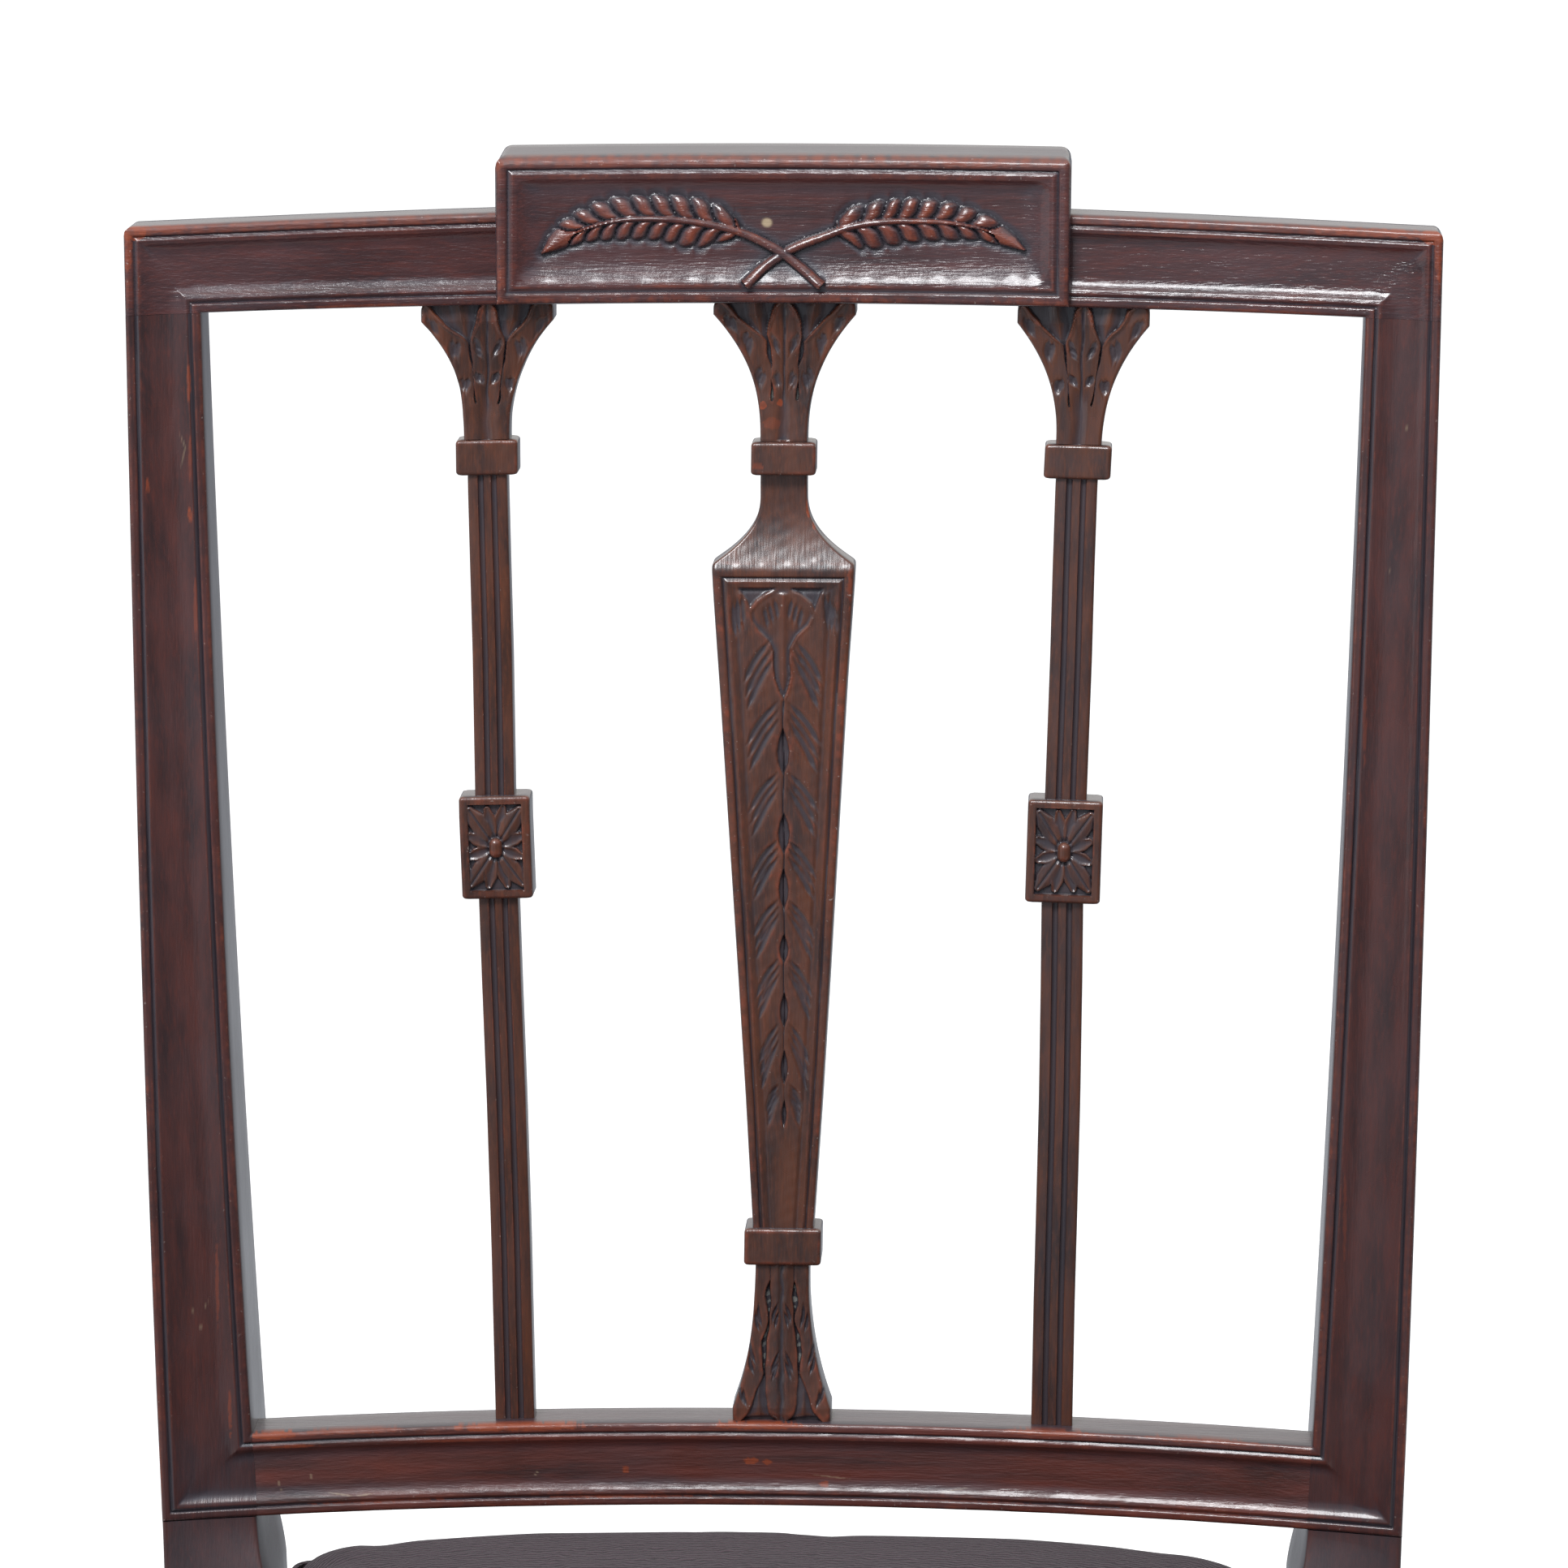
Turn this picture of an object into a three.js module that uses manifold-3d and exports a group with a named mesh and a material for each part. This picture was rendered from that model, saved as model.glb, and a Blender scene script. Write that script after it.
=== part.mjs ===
// Square-back dining chair: a moulded mahogany frame back with a raised tablet, two reeded
// uprights with carved capitals, a tapering centre splat and a padded drop-in seat.
// Millimetres, +Z up. The chair faces -Y and stands on its four feet at z = 0.

import * as THREE from 'three';
import { mergeVertices } from 'three/addons/utils/BufferGeometryUtils.js';
import Module from 'manifold-3d';

// Fits shared by every joint
const fit = 0.3;
const overrun = 6;
const ease = 1.2;

// Seat frame
const seatRailTop = 422;
const seatFrontHalf = 264;
const seatDepth = 456;
const railHeight = 62;
const railThickness = 24;
const railInset = 2;
const rebateWidth = 12;
const rebateDepth = 14;

// Back, measured square on: heights run up the slope of the back from its base line
const backRakeDegrees = 7;
const backLift = 6;
const postSweep = 31;
const railBow = 23;
const stayRailRise = 29.7;
const stayRailHeight = 32.2;
const openingHeight = 414.9;
const crestHeight = 31.6;
const railDepth = 22;

// Rear posts
const postHalfSeat = 230.4;
const postHalfTop = 239.5;
const blockWidth = 41;
const postWidthLow = 35;
const postWidthHigh = 27.1;
const postHollow = 0.9;
const postDepthLow = 44;
const postDepthHigh = 22;
const scoopHeight = 11;
const rearLegSweep = 48;
const rearFootWidth = 27;
const rearFootDepth = 30;

// Sunk moulded field of the back frame
const fieldRim = 6.2;
const fieldDepth = 2.2;
const fieldCove = 3;

// Raised tablet of the crest
const tabletWidth = 208.6;
const tabletRise = 22.1;
const tabletFoot = 0.5;
const tabletProud = 5;
const tabletBackProud = 4;
const tabletRim = 9;
const tabletSink = 3;

// Reeded uprights
const uprightHalfLow = 100.7;
const uprightHalfHigh = 109.4;
const uprightSetback = 8;
const shaftWidth = 15;
const shaftDepth = 10;
const reedCount = 3;
const reedSink = 1.6;
const collarWidth = 23.6;
const collarHeight = 11.5;
const collarProud = 1.8;
const collarDrop = 51;
const patera = { width: 26.8, height: 37.5, low: 259.1, proud: 2.6, rim: 3.3, sink: 2 };
const boss = { width: 5.4, height: 6.6, rise: 1.8 };

// Leaf capitals under the crest
const capitalWidth = 48.4;
const capitalLip = 4;
const capitalNeck = 16.8;
const capitalProud = 5;
const flarePower = 2.35;

// Centre splat
const splatCapitalWidth = 52.4;
const splatNeck = 17.4;
const splatShoulderWidth = 52.3;
const splatShoulderDrop = 95.4;
const splatShoulderLip = 6;
const splatOgeeHeight = 27;
const splatFootWidth = 22.8;
const splatCollarWidth = 28.8;
const splatCollarHeight = 14.2;
const splatCollarRise = 59.4;
const splatDepth = 12;
const splatBorder = 3.6;
const splatSink = 1.2;
const splatPanelDrop = 6.5;
const leafBaseWidth = 36.8;
const leafBaseLip = 5;
const leafBaseNeck = 20.2;
const leafBaseProud = 2.5;

// Front legs and stretchers
const legTop = 42;
const legFoot = 25;
const stretcherHeight = 24;
const stretcherThickness = 15;
const stretcherRise = 116;
const rearStretcherLift = 42;
const stubLength = 9;
const medialShare = 0.45;
const medialStubShare = 2 / 3;

// Mortise and tenon joints
const tenonThickness = 9;
const tenonLength = 20;
const tenonShoulder = 8;
const crestTenon = 9;

// Drop-in seat
const seatPlay = 0.8;
const coverThickness = 2;
const slipThickness = 18;
const slipWidth = 56;
const slipTenonLength = 18;
const slipTenonThickness = 6;
const notchSide = 4;
const notchFront = 8;
const webWidth = 50;
const webThickness = 1.2;
const webCount = 3;
const webInset = 12;
const padEdge = 9;
const padRoll = 18;
const padRollWidth = 22;
const padCornerShare = 0.5;
const padCrown = 20;
const padDrawIn = 3;

// Corner blocks and their screws
const cornerLeg = 62;
const cornerHeight = 38;
const cornerInset = 6;
const screwHead = 3.8;
const screwHeadHeight = 2.4;
const screwShank = 2;
const screwBite = 12;
const screwSetShare = 0.5;

// How finely curved runs are divided
const railSteps = 24;
const postSteps = 14;
const legSteps = 6;
const scoopSteps = 3;
const flareSteps = 7;
const reedSteps = 4;
const padSteps = 20;
const roundSteps = 10;

// Heights and places that follow from the sizes
const backRake = THREE.MathUtils.degToRad(backRakeDegrees);
const backBase = seatRailTop + backLift;
const stayRailTop = stayRailRise + stayRailHeight;
const crestBottom = stayRailTop + openingHeight;
const crestTop = crestBottom + crestHeight;
const railBottom = seatRailTop - railHeight;
const ledge = seatRailTop - rebateDepth;
const blockFront = -Math.tan(backRake) * backLift / 2;
const blockBack = blockFront + postDepthLow;
const seatFront = blockBack - seatDepth;
const blockInner = postHalfSeat - blockWidth;
const legInner = seatFrontHalf - legTop;
const legBack = seatFront + legTop;

const wasm = await Module();
wasm.setup();

// Finishes
function finish(color, roughness, metalness = 0) {
  return { color, roughness, metalness };
}
const mahogany = finish(0x4a2a26, 0.35);
const beech = finish(0xb08a5c, 0.7);
const jute = finish(0x9c8258, 0.95);
const fabric = finish(0x4b3f4b, 0.95);
const steel = finish(0x8a8a88, 0.4, 1);

const chair = new THREE.Group();

function add(name, geometry, look) {
  const mesh = new THREE.Mesh(geometry, new THREE.MeshStandardMaterial(look));
  mesh.name = name;
  chair.add(mesh);
}

// Six times the volume that a closed mesh holds, below zero when its faces point inwards
function signedVolume(geometry) {
  const { position } = geometry.attributes;
  const [a, b, c] = [new THREE.Vector3(), new THREE.Vector3(), new THREE.Vector3()];
  let sum = 0;
  for (let i = 0; i < geometry.index.count; i += 3) {
    a.fromBufferAttribute(position, geometry.index.getX(i));
    b.fromBufferAttribute(position, geometry.index.getX(i + 1));
    c.fromBufferAttribute(position, geometry.index.getX(i + 2));
    sum += a.dot(b.cross(c));
  }
  return sum;
}

// A geometry with shared corners, turned so that its faces point out
function closed(geometry) {
  const bare = geometry.clone();
  bare.deleteAttribute('normal');
  bare.deleteAttribute('uv');
  const merged = mergeVertices(bare);
  if (signedVolume(merged) < 0) {
    merged.index.array.reverse();
  }
  return merged;
}

function toSolid(geometry) {
  const merged = closed(geometry);
  return new wasm.Manifold(new wasm.Mesh({
    numProp: 3,
    vertProperties: new Float32Array(merged.attributes.position.array),
    triVerts: new Uint32Array(merged.index.array),
  }));
}

function toGeometry(solid) {
  const mesh = solid.getMesh();
  const geometry = new THREE.BufferGeometry();
  geometry.setAttribute('position', new THREE.BufferAttribute(mesh.vertProperties, 3));
  geometry.setIndex(new THREE.BufferAttribute(mesh.triVerts, 1));
  geometry.computeVertexNormals();
  return geometry;
}

// A first body with others joined to it, and then with others cut away
function worked(first, joins, cuts) {
  let solid = toSolid(first);
  for (const piece of joins) {
    solid = solid.add(toSolid(piece));
  }
  for (const piece of cuts) {
    solid = solid.subtract(toSolid(piece));
  }
  return toGeometry(solid);
}

// A closed body through a row of sections, each an outline of [a, b] points at a station.
// place(at, a, b) gives the point in space. A looped row joins its last section to its first.
function loft(sections, place, looped = false) {
  const count = sections[0].outline.length;
  const points = sections.flatMap(({ at, outline }) => outline.map(([a, b]) => place(at, a, b)));
  const index = [];
  const runs = looped ? sections.length : sections.length - 1;
  for (let run = 0; run < runs; run += 1) {
    const here = run * count;
    const next = ((run + 1) % sections.length) * count;
    for (let k = 0; k < count; k += 1) {
      const after = (k + 1) % count;
      index.push(here + k, here + after, next + after, here + k, next + after, next + k);
    }
  }
  if (!looped) {
    const last = (sections.length - 1) * count;
    for (const [a, b, c] of flatFaces(sections[0].outline)) {
      index.push(a, c, b);
    }
    for (const [a, b, c] of flatFaces(sections[sections.length - 1].outline)) {
      index.push(last + a, last + b, last + c);
    }
  }
  const geometry = new THREE.BufferGeometry();
  geometry.setAttribute('position',
    new THREE.Float32BufferAttribute(points.flatMap((p) => p.toArray()), 3));
  geometry.setIndex(index);
  return closed(geometry);
}

// Triangles that fill an outline, all wound the way that the outline runs
function flatFaces(outline) {
  const points = outline.map(([a, b]) => new THREE.Vector2(a, b));
  const turn = Math.sign(THREE.ShapeUtils.area(points));
  return THREE.ShapeUtils.triangulateShape(points, []).map(([a, b, c]) => (
    Math.sign(THREE.ShapeUtils.area([points[a], points[b], points[c]])) === turn
      ? [a, b, c] : [a, c, b]));
}

function rectangle(a0, a1, b0, b1) {
  return [[a0, b0], [a1, b0], [a1, b1], [a0, b1]];
}

function easedRectangle(a0, a1, b0, b1, e) {
  return [
    [a0 + e, b0], [a1 - e, b0], [a1, b0 + e], [a1, b1 - e],
    [a1 - e, b1], [a0 + e, b1], [a0, b1 - e], [a0, b0 + e],
  ];
}

function steps(count) {
  return Array.from({ length: count + 1 }, (_, i) => i / count);
}

function lerp(from, to, share) {
  return from + (to - from) * share;
}

function smooth(share) {
  const t = Math.min(Math.max(share, 0), 1);
  return t * t * (3 - 2 * t);
}

// A point on the back: across, up the slope, and behind the front of the rails
function backPoint(across, up, behind) {
  const bow = railBow * (1 - (across / postHalfTop) ** 2);
  const sweep = postSweep * (up / crestTop) ** 2;
  return new THREE.Vector3(
    across,
    up * Math.sin(backRake) + sweep + bow + behind * Math.cos(backRake),
    backBase + up * Math.cos(backRake) - behind * Math.sin(backRake),
  );
}

// Edges and depth of a rear post at a height on the back
function postOuter(up) {
  return lerp(postHalfSeat, postHalfTop, Math.max(up, 0) / crestTop);
}

function postInner(up) {
  const share = (up - stayRailRise) / (crestBottom - stayRailRise);
  const width = lerp(postWidthLow, postWidthHigh, share) - 4 * postHollow * share * (1 - share);
  return postOuter(up) - width;
}

function postDepth(up) {
  return lerp(postDepthLow, postDepthHigh, up / crestBottom);
}

// A block that follows the bow of the back
function backBar(halfAt, low, high, front, back, count, e = 0) {
  const outline = e > 0
    ? easedRectangle(low, high, front, back, e)
    : rectangle(low, high, front, back);
  const sections = steps(count).map((share) => ({ at: 2 * share - 1, outline }));
  return loft(sections, (at, up, behind) => backPoint(at * halfAt(up), up, behind));
}

// Moulded field of the back: one sunk band that runs round posts, crest and stay rail
function fieldBand() {
  const outerLow = stayRailRise + fieldRim;
  const outerHigh = crestTop - fieldRim;
  const innerLow = stayRailTop - fieldRim;
  const innerHigh = crestBottom + fieldRim;
  const outerAt = (up) => postOuter(up) - fieldRim;
  const innerAt = (up) => postInner(up) + fieldRim;
  const rows = [];
  const side = (count, sign, from, to) => {
    for (const share of steps(count).slice(0, -1)) {
      const t = lerp(from, to, share);
      const outerUp = lerp(outerLow, outerHigh, t);
      const innerUp = lerp(innerLow, innerHigh, t);
      rows.push([[sign * outerAt(outerUp), outerUp], [sign * innerAt(innerUp), innerUp]]);
    }
  };
  const rail = (count, outerUp, innerUp, sign) => {
    for (const share of steps(count).slice(0, -1)) {
      const t = sign * (1 - 2 * share);
      rows.push([[t * outerAt(outerUp), outerUp], [t * innerAt(innerUp), innerUp]]);
    }
  };
  side(postSteps, 1, 0, 1);
  rail(railSteps, outerHigh, innerHigh, 1);
  side(postSteps, -1, 1, 0);
  rail(railSteps, outerLow, innerLow, -1);
  const sections = rows.map(([outer, inner]) => {
    const width = Math.hypot(outer[0] - inner[0], outer[1] - inner[1]);
    const inset = Math.min(fieldCove / width, 1 / 4);
    return {
      at: [outer, inner],
      outline: [
        [0, -overrun], [1, -overrun], [1, 0],
        [1 - inset, fieldDepth], [inset, fieldDepth], [0, 0],
      ],
    };
  });
  return loft(sections, ([outer, inner], share, behind) => (
    backPoint(lerp(outer[0], inner[0], share), lerp(outer[1], inner[1], share), behind)), true);
}

const field = fieldBand();

// Uprights: a side of 0 is the centre splat, and -1 and 1 the reeded ones
function uprightCentre(side, up) {
  const share = (up - stayRailTop) / (crestBottom - stayRailTop);
  return side * lerp(uprightHalfLow, uprightHalfHigh, share);
}

function uprightPlace(side) {
  return (up, across, behind) => backPoint(uprightCentre(side, up) + across, up, behind);
}

function uprightTenon(side, low, high, halfWidth, grow) {
  const front = uprightSetback + fit - grow;
  const back = uprightSetback + tenonThickness - fit + grow;
  const half = halfWidth + grow;
  const outline = rectangle(-half, half, front, back);
  return loft([{ at: low - grow, outline }, { at: high + grow, outline }], uprightPlace(side));
}

function topTenon(side, grow) {
  return uprightTenon(side, crestBottom - fit - overrun / 2, crestBottom + crestTenon,
    shaftWidth / 2, grow);
}

function footTenon(side, grow) {
  return uprightTenon(side, stayRailTop - crestTenon, stayRailTop + fit + overrun / 2,
    shaftWidth / 2 - ease, grow);
}

// Section of an upright: a front of reeds, or flat where the reed sink is zero
function uprightSection(up, width, front, back, sink = 0) {
  const pitch = width / reedCount;
  const reeds = steps(reedCount * reedSteps).map((share) => {
    const along = (share * reedCount) % 1;
    return [-width / 2 + share * reedCount * pitch, front + sink * (1 - Math.sin(Math.PI * along))];
  });
  return { at: up, outline: [...reeds, [width / 2, back], [-width / 2, back]] };
}

// Rows that spread from a neck to the lip of a capital
function flare(from, to, narrow, wide) {
  return steps(flareSteps).slice(1).map((share) => {
    const spread = share ** flarePower;
    const front = uprightSetback - lerp(collarProud, capitalProud, spread);
    const back = shaftBack + collarProud * spread;
    return uprightSection(lerp(from, to, share), lerp(narrow, wide, spread), front, back);
  });
}

const shaftBack = uprightSetback + shaftDepth;
const collarFront = uprightSetback - collarProud;
const collarBack = shaftBack + collarProud;
const collarTop = crestBottom - collarDrop;
const collarBottom = collarTop - collarHeight;

function capital(neckWidth, topWidth) {
  const lipBottom = crestBottom - fit - capitalLip;
  const rows = flare(collarTop, lipBottom, neckWidth, topWidth);
  const lip = rows[rows.length - 1];
  return [
    uprightSection(collarTop, neckWidth, uprightSetback, shaftBack),
    ...rows,
    { at: crestBottom - fit, outline: lip.outline },
  ];
}

function collar(low, high, width) {
  return [low, high].map((up) => uprightSection(up, width, collarFront, collarBack));
}

function reededUpright(side) {
  const low = patera.low;
  const high = patera.low + patera.height;
  const shaft = (up) => uprightSection(up, shaftWidth, uprightSetback, shaftBack, reedSink);
  const block = (up) => uprightSection(up, patera.width, uprightSetback - patera.proud,
    shaftBack + patera.proud);
  const body = loft([
    shaft(stayRailTop + fit), shaft(low), block(low), block(high), shaft(high),
    shaft(collarBottom), ...collar(collarBottom, collarTop, collarWidth),
    ...capital(capitalNeck, capitalWidth),
  ], uprightPlace(side));
  const face = uprightSetback - patera.proud;
  const half = patera.width / 2 - patera.rim;
  const sunk = rectangle(-half, half, face - overrun, face + patera.sink);
  const recess = loft([
    { at: low + patera.rim, outline: sunk }, { at: high - patera.rim, outline: sunk },
  ], uprightPlace(side));
  const middle = (low + high) / 2;
  const centre = uprightPlace(side)(middle, 0, face + patera.sink);
  const button = new THREE.SphereGeometry(1, roundSteps, roundSteps / 2);
  button.scale(boss.width / 2, boss.rise, boss.height / 2);
  button.translate(centre.x, centre.y, centre.z);
  const cut = worked(body, [], [recess]);
  return worked(cut, [button, topTenon(side, 0), footTenon(side, 0)], []);
}

// Half width of the splat's tapering body at a height
function splatBody(up) {
  const low = stayRailTop + splatCollarRise + splatCollarHeight;
  const high = crestBottom - splatShoulderDrop;
  return lerp(splatFootWidth, splatShoulderWidth, (up - low) / (high - low));
}

function centreSplat() {
  const back = uprightSetback + splatDepth;
  const front = uprightSetback - capitalProud / 2;
  const collarLow = stayRailTop + splatCollarRise;
  const bodyLow = collarLow + splatCollarHeight;
  const shoulder = crestBottom - splatShoulderDrop;
  const plain = (up, width) => uprightSection(up, width, front, back);
  const ogee = steps(flareSteps).map((share) => {
    const spread = (1 - share) ** flarePower;
    return plain(lerp(shoulder, shoulder + splatOgeeHeight, share),
      lerp(splatNeck, splatShoulderWidth, spread));
  });
  const leafLow = stayRailTop + fit;
  const leaves = steps(flareSteps).map((share) => {
    const spread = (1 - share) ** 2;
    return uprightSection(lerp(leafLow + leafBaseLip, collarLow, share),
      lerp(leafBaseNeck, leafBaseWidth, spread), front - leafBaseProud * spread, back);
  });
  const proud = (up, width) => uprightSection(up, width, front - collarProud, back + collarProud);
  const body = loft([
    { at: leafLow, outline: leaves[0].outline }, ...leaves,
    proud(collarLow, splatCollarWidth), proud(bodyLow, splatCollarWidth),
    plain(bodyLow, splatFootWidth), plain(shoulder - splatShoulderLip, splatBody(shoulder)),
    ...ogee, plain(collarBottom, splatNeck),
    ...collar(collarBottom, collarTop, collarWidth),
    ...capital(splatNeck, splatCapitalWidth),
  ], uprightPlace(0));
  const panelHigh = shoulder - splatPanelDrop;
  const panelLow = bodyLow + splatBorder / 2;
  const sunk = (up) => {
    const half = splatBody(up) / 2 - splatBorder;
    return { at: up, outline: rectangle(-half, half, front - overrun, front + splatSink) };
  };
  const panel = loft([sunk(panelLow), sunk(panelHigh)], uprightPlace(0));
  return worked(body, [topTenon(0, 0), footTenon(0, 0)], [panel]);
}

// Rear posts, each one piece with its leg
function postTenon(side, grow) {
  const middle = (postInner(crestBottom) + postOuter(crestBottom)) / 2;
  const half = postWidthHigh / 2 - tenonShoulder + grow;
  const outline = rectangle(middle - half, middle + half,
    (railDepth - tenonThickness) / 2 - grow, (railDepth + tenonThickness) / 2 + grow);
  return loft([
    { at: crestBottom - fit - overrun / 2, outline },
    { at: crestBottom + crestHeight / 2 + grow, outline },
  ], (up, across, behind) => backPoint(side * across, up, behind));
}

function stayTenon(side, grow) {
  const reach = postInner(stayRailRise) + tenonLength;
  const outline = rectangle(stayRailRise + tenonShoulder - grow, stayRailTop - tenonShoulder + grow,
    (railDepth - tenonThickness) / 2 - grow, (railDepth + tenonThickness) / 2 + grow);
  const from = postInner(stayRailRise) - tenonLength / 2;
  return loft([{ at: from, outline }, { at: reach + grow, outline }],
    (across, up, behind) => backPoint(side * across, up, behind));
}

// A point of a post or leg: up counts from the base line of the back and is below zero in the leg
function postPoint(side, across, up, behind) {
  if (up >= stayRailRise) {
    return backPoint(side * across, up, behind);
  }
  const onBack = backPoint(side * across, Math.max(up, 0), 0);
  const bow = railBow * (1 - (across / postHalfTop) ** 2);
  const flatten = bow * (1 - smooth(up / stayRailRise));
  const lean = backRake * Math.min(Math.max(1 + up / backLift, 0), 1);
  const drop = Math.min(Math.max(-up, 0), backLift);
  const easeBack = Math.tan(backRake) * (drop - drop * drop / (2 * backLift));
  const legShare = Math.max(railBottom - backBase - up, 0) / railBottom;
  return new THREE.Vector3(
    side * across,
    onBack.y - flatten - easeBack + rearLegSweep * legShare ** 2 + behind * Math.cos(lean),
    onBack.z + Math.min(up, 0) - behind * Math.sin(lean),
  );
}

function postSection(up) {
  const outer = postOuter(up);
  if (up >= stayRailRise) {
    const inner = postInner(up);
    return { at: up, outline: easedRectangle(inner, outer, 0, postDepth(up), ease) };
  }
  const legShare = Math.max(railBottom - backBase - up, 0) / railBottom;
  const width = lerp(blockWidth, rearFootWidth, legShare);
  const depth = lerp(postDepth(Math.max(up, 0)), rearFootDepth, legShare);
  const frontShare = smooth((stayRailRise - up) / stayRailRise);
  const backShare = smooth((stayRailRise - up) / scoopHeight);
  const frontInner = outer - lerp(postWidthLow, width, frontShare);
  const backInner = outer - lerp(postWidthLow, width, backShare);
  return {
    at: up,
    outline: [
      [frontInner + ease, 0], [outer - ease, 0], [outer, ease], [outer, depth - ease],
      [outer - ease, depth], [backInner + ease, depth], [backInner, depth - ease],
      [frontInner, ease],
    ],
  };
}

function rearPost(side) {
  const blockLow = railBottom - backBase;
  const heights = [
    ...steps(legSteps).map((share) => lerp(-backBase, blockLow, share)),
    -backLift, -backLift / 2,
    ...steps(legSteps).map((share) => lerp(0, stayRailRise - scoopHeight, share)),
    ...steps(scoopSteps).slice(1).map((share) => lerp(stayRailRise - scoopHeight, stayRailRise, share)),
    ...steps(postSteps).slice(1).map((share) => lerp(stayRailRise, crestBottom - fit, share)),
  ];
  const body = loft(heights.map(postSection), (up, across, behind) => (
    postPoint(side, across, up, behind)));
  const cuts = [
    field, stayTenon(side, fit), rearRailTenon(side, fit), sideRailTenon(side, 1, fit),
    sideStretcher(side, fit), rearStretcher(fit),
  ];
  return worked(body, [postTenon(side, 0)], cuts);
}

// Crest rail with its raised tablet, worked from one piece
function crestRail() {
  const bar = backBar(postOuter, crestBottom, crestTop, 0, railDepth, railSteps, ease);
  const moulded = worked(bar, [], [field]);
  const tabletTop = crestTop + tabletRise;
  const tablet = backBar(() => tabletWidth / 2, crestBottom + tabletFoot, tabletTop,
    -tabletProud, railDepth + tabletBackProud, railSteps / 2, ease);
  const sunk = backBar(() => tabletWidth / 2 - tabletRim, crestBottom + tabletFoot + tabletRim,
    tabletTop - tabletRim, -tabletProud - overrun, tabletSink - tabletProud, railSteps / 2);
  const joined = worked(moulded, [tablet], []);
  const mortises = [-1, 1].map((side) => postTenon(side, fit));
  return worked(joined, [], [sunk, ...mortises, ...[-1, 0, 1].map((side) => topTenon(side, fit))]);
}

function stayRail() {
  const bar = backBar((up) => postInner(up) - fit, stayRailRise, stayRailTop, 0, railDepth,
    railSteps, ease);
  const moulded = worked(bar, [], [field]);
  const mortises = [-1, 0, 1].map((side) => footTenon(side, fit));
  return worked(moulded, [-1, 1].map((side) => stayTenon(side, 0)), mortises);
}

// Plan of the seat frame: outer face of a side rail at a depth y
function sideOuter(y) {
  const share = (y - legBack) / (blockFront - legBack);
  return lerp(seatFrontHalf, postHalfSeat, share) - railInset;
}

function box(x0, x1, y0, y1, z0, z1) {
  const geometry = new THREE.BoxGeometry(x1 - x0, y1 - y0, z1 - z0);
  geometry.translate((x0 + x1) / 2, (y0 + y1) / 2, (z0 + z1) / 2);
  return geometry;
}

function tenonHeights(grow) {
  return [railBottom + tenonShoulder - grow, ledge - tenonShoulder + grow];
}

// Rail section: across its thickness from the outer face, and height, with the rebate
const railSection = [
  [0, railBottom], [railThickness, railBottom], [railThickness, ledge],
  [railThickness - rebateWidth, ledge], [railThickness - rebateWidth, seatRailTop], [0, seatRailTop],
];
const tenonSet = (railThickness - tenonThickness) / 2;

function sideRailTenon(side, end, grow) {
  const [low, high] = tenonHeights(grow);
  const shoulder = end > 0 ? blockFront : legBack;
  const reach = shoulder + end * (tenonLength + grow);
  const root = shoulder - end * tenonLength / 2;
  const outline = rectangle(tenonSet - grow, tenonSet + tenonThickness + grow, low, high);
  return loft([{ at: root, outline }, { at: reach, outline }],
    (y, inward, z) => new THREE.Vector3(side * (sideOuter(y) - inward), y, z));
}

function sideRail(side) {
  const body = loft([
    { at: legBack + fit, outline: railSection }, { at: blockFront - fit, outline: railSection },
  ], (y, inward, z) => new THREE.Vector3(side * (sideOuter(y) - inward), y, z));
  const tenons = [-1, 1].map((end) => sideRailTenon(side, end, 0));
  return worked(body, tenons, screwHoles([side], [-1, 1]));
}

const frontFace = seatFront + railInset;
const rearFace = blockBack - railInset;

function frontRailTenon(side, grow) {
  const [low, high] = tenonHeights(grow);
  const from = frontFace + tenonSet - grow;
  const ends = [side * (legInner - tenonLength / 2), side * (legInner + tenonLength + grow)];
  return box(Math.min(...ends), Math.max(...ends), from, from + tenonThickness + 2 * grow, low, high);
}

function rearRailTenon(side, grow) {
  const [low, high] = tenonHeights(grow);
  const to = rearFace - tenonSet + grow;
  const ends = [side * (blockInner - tenonLength / 2), side * (blockInner + tenonLength + grow)];
  return box(Math.min(...ends), Math.max(...ends), to - tenonThickness - 2 * grow, to, low, high);
}

function crossRail(half, faceY, inwardSign, tenon, cuts) {
  const body = loft([
    { at: -half + fit, outline: railSection }, { at: half - fit, outline: railSection },
  ], (x, inward, z) => new THREE.Vector3(x, faceY + inwardSign * inward, z));
  return worked(body, [tenon(-1, 0), tenon(1, 0)], cuts);
}

// Plan of the opening that the drop-in seat lies in, shrunk by an inset, notched round the posts
function seatPlan(inset) {
  const front = frontFace + railThickness - rebateWidth + inset;
  const back = rearFace - railThickness + rebateWidth - inset;
  const notchY = blockFront - notchFront - inset + seatPlay;
  const notchX = blockInner - notchSide - inset + seatPlay;
  const sideAt = (y) => sideOuter(y) - railThickness + rebateWidth - inset;
  const right = [[sideAt(front), front], [sideAt(notchY), notchY], [notchX, notchY], [notchX, back]];
  return [...right, ...right.map(([x, y]) => [-x, y]).reverse()];
}

function prism(plan, z0, z1) {
  return loft([{ at: z0, outline: plan }, { at: z1, outline: plan }],
    (z, x, y) => new THREE.Vector3(x, y, z));
}

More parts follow.
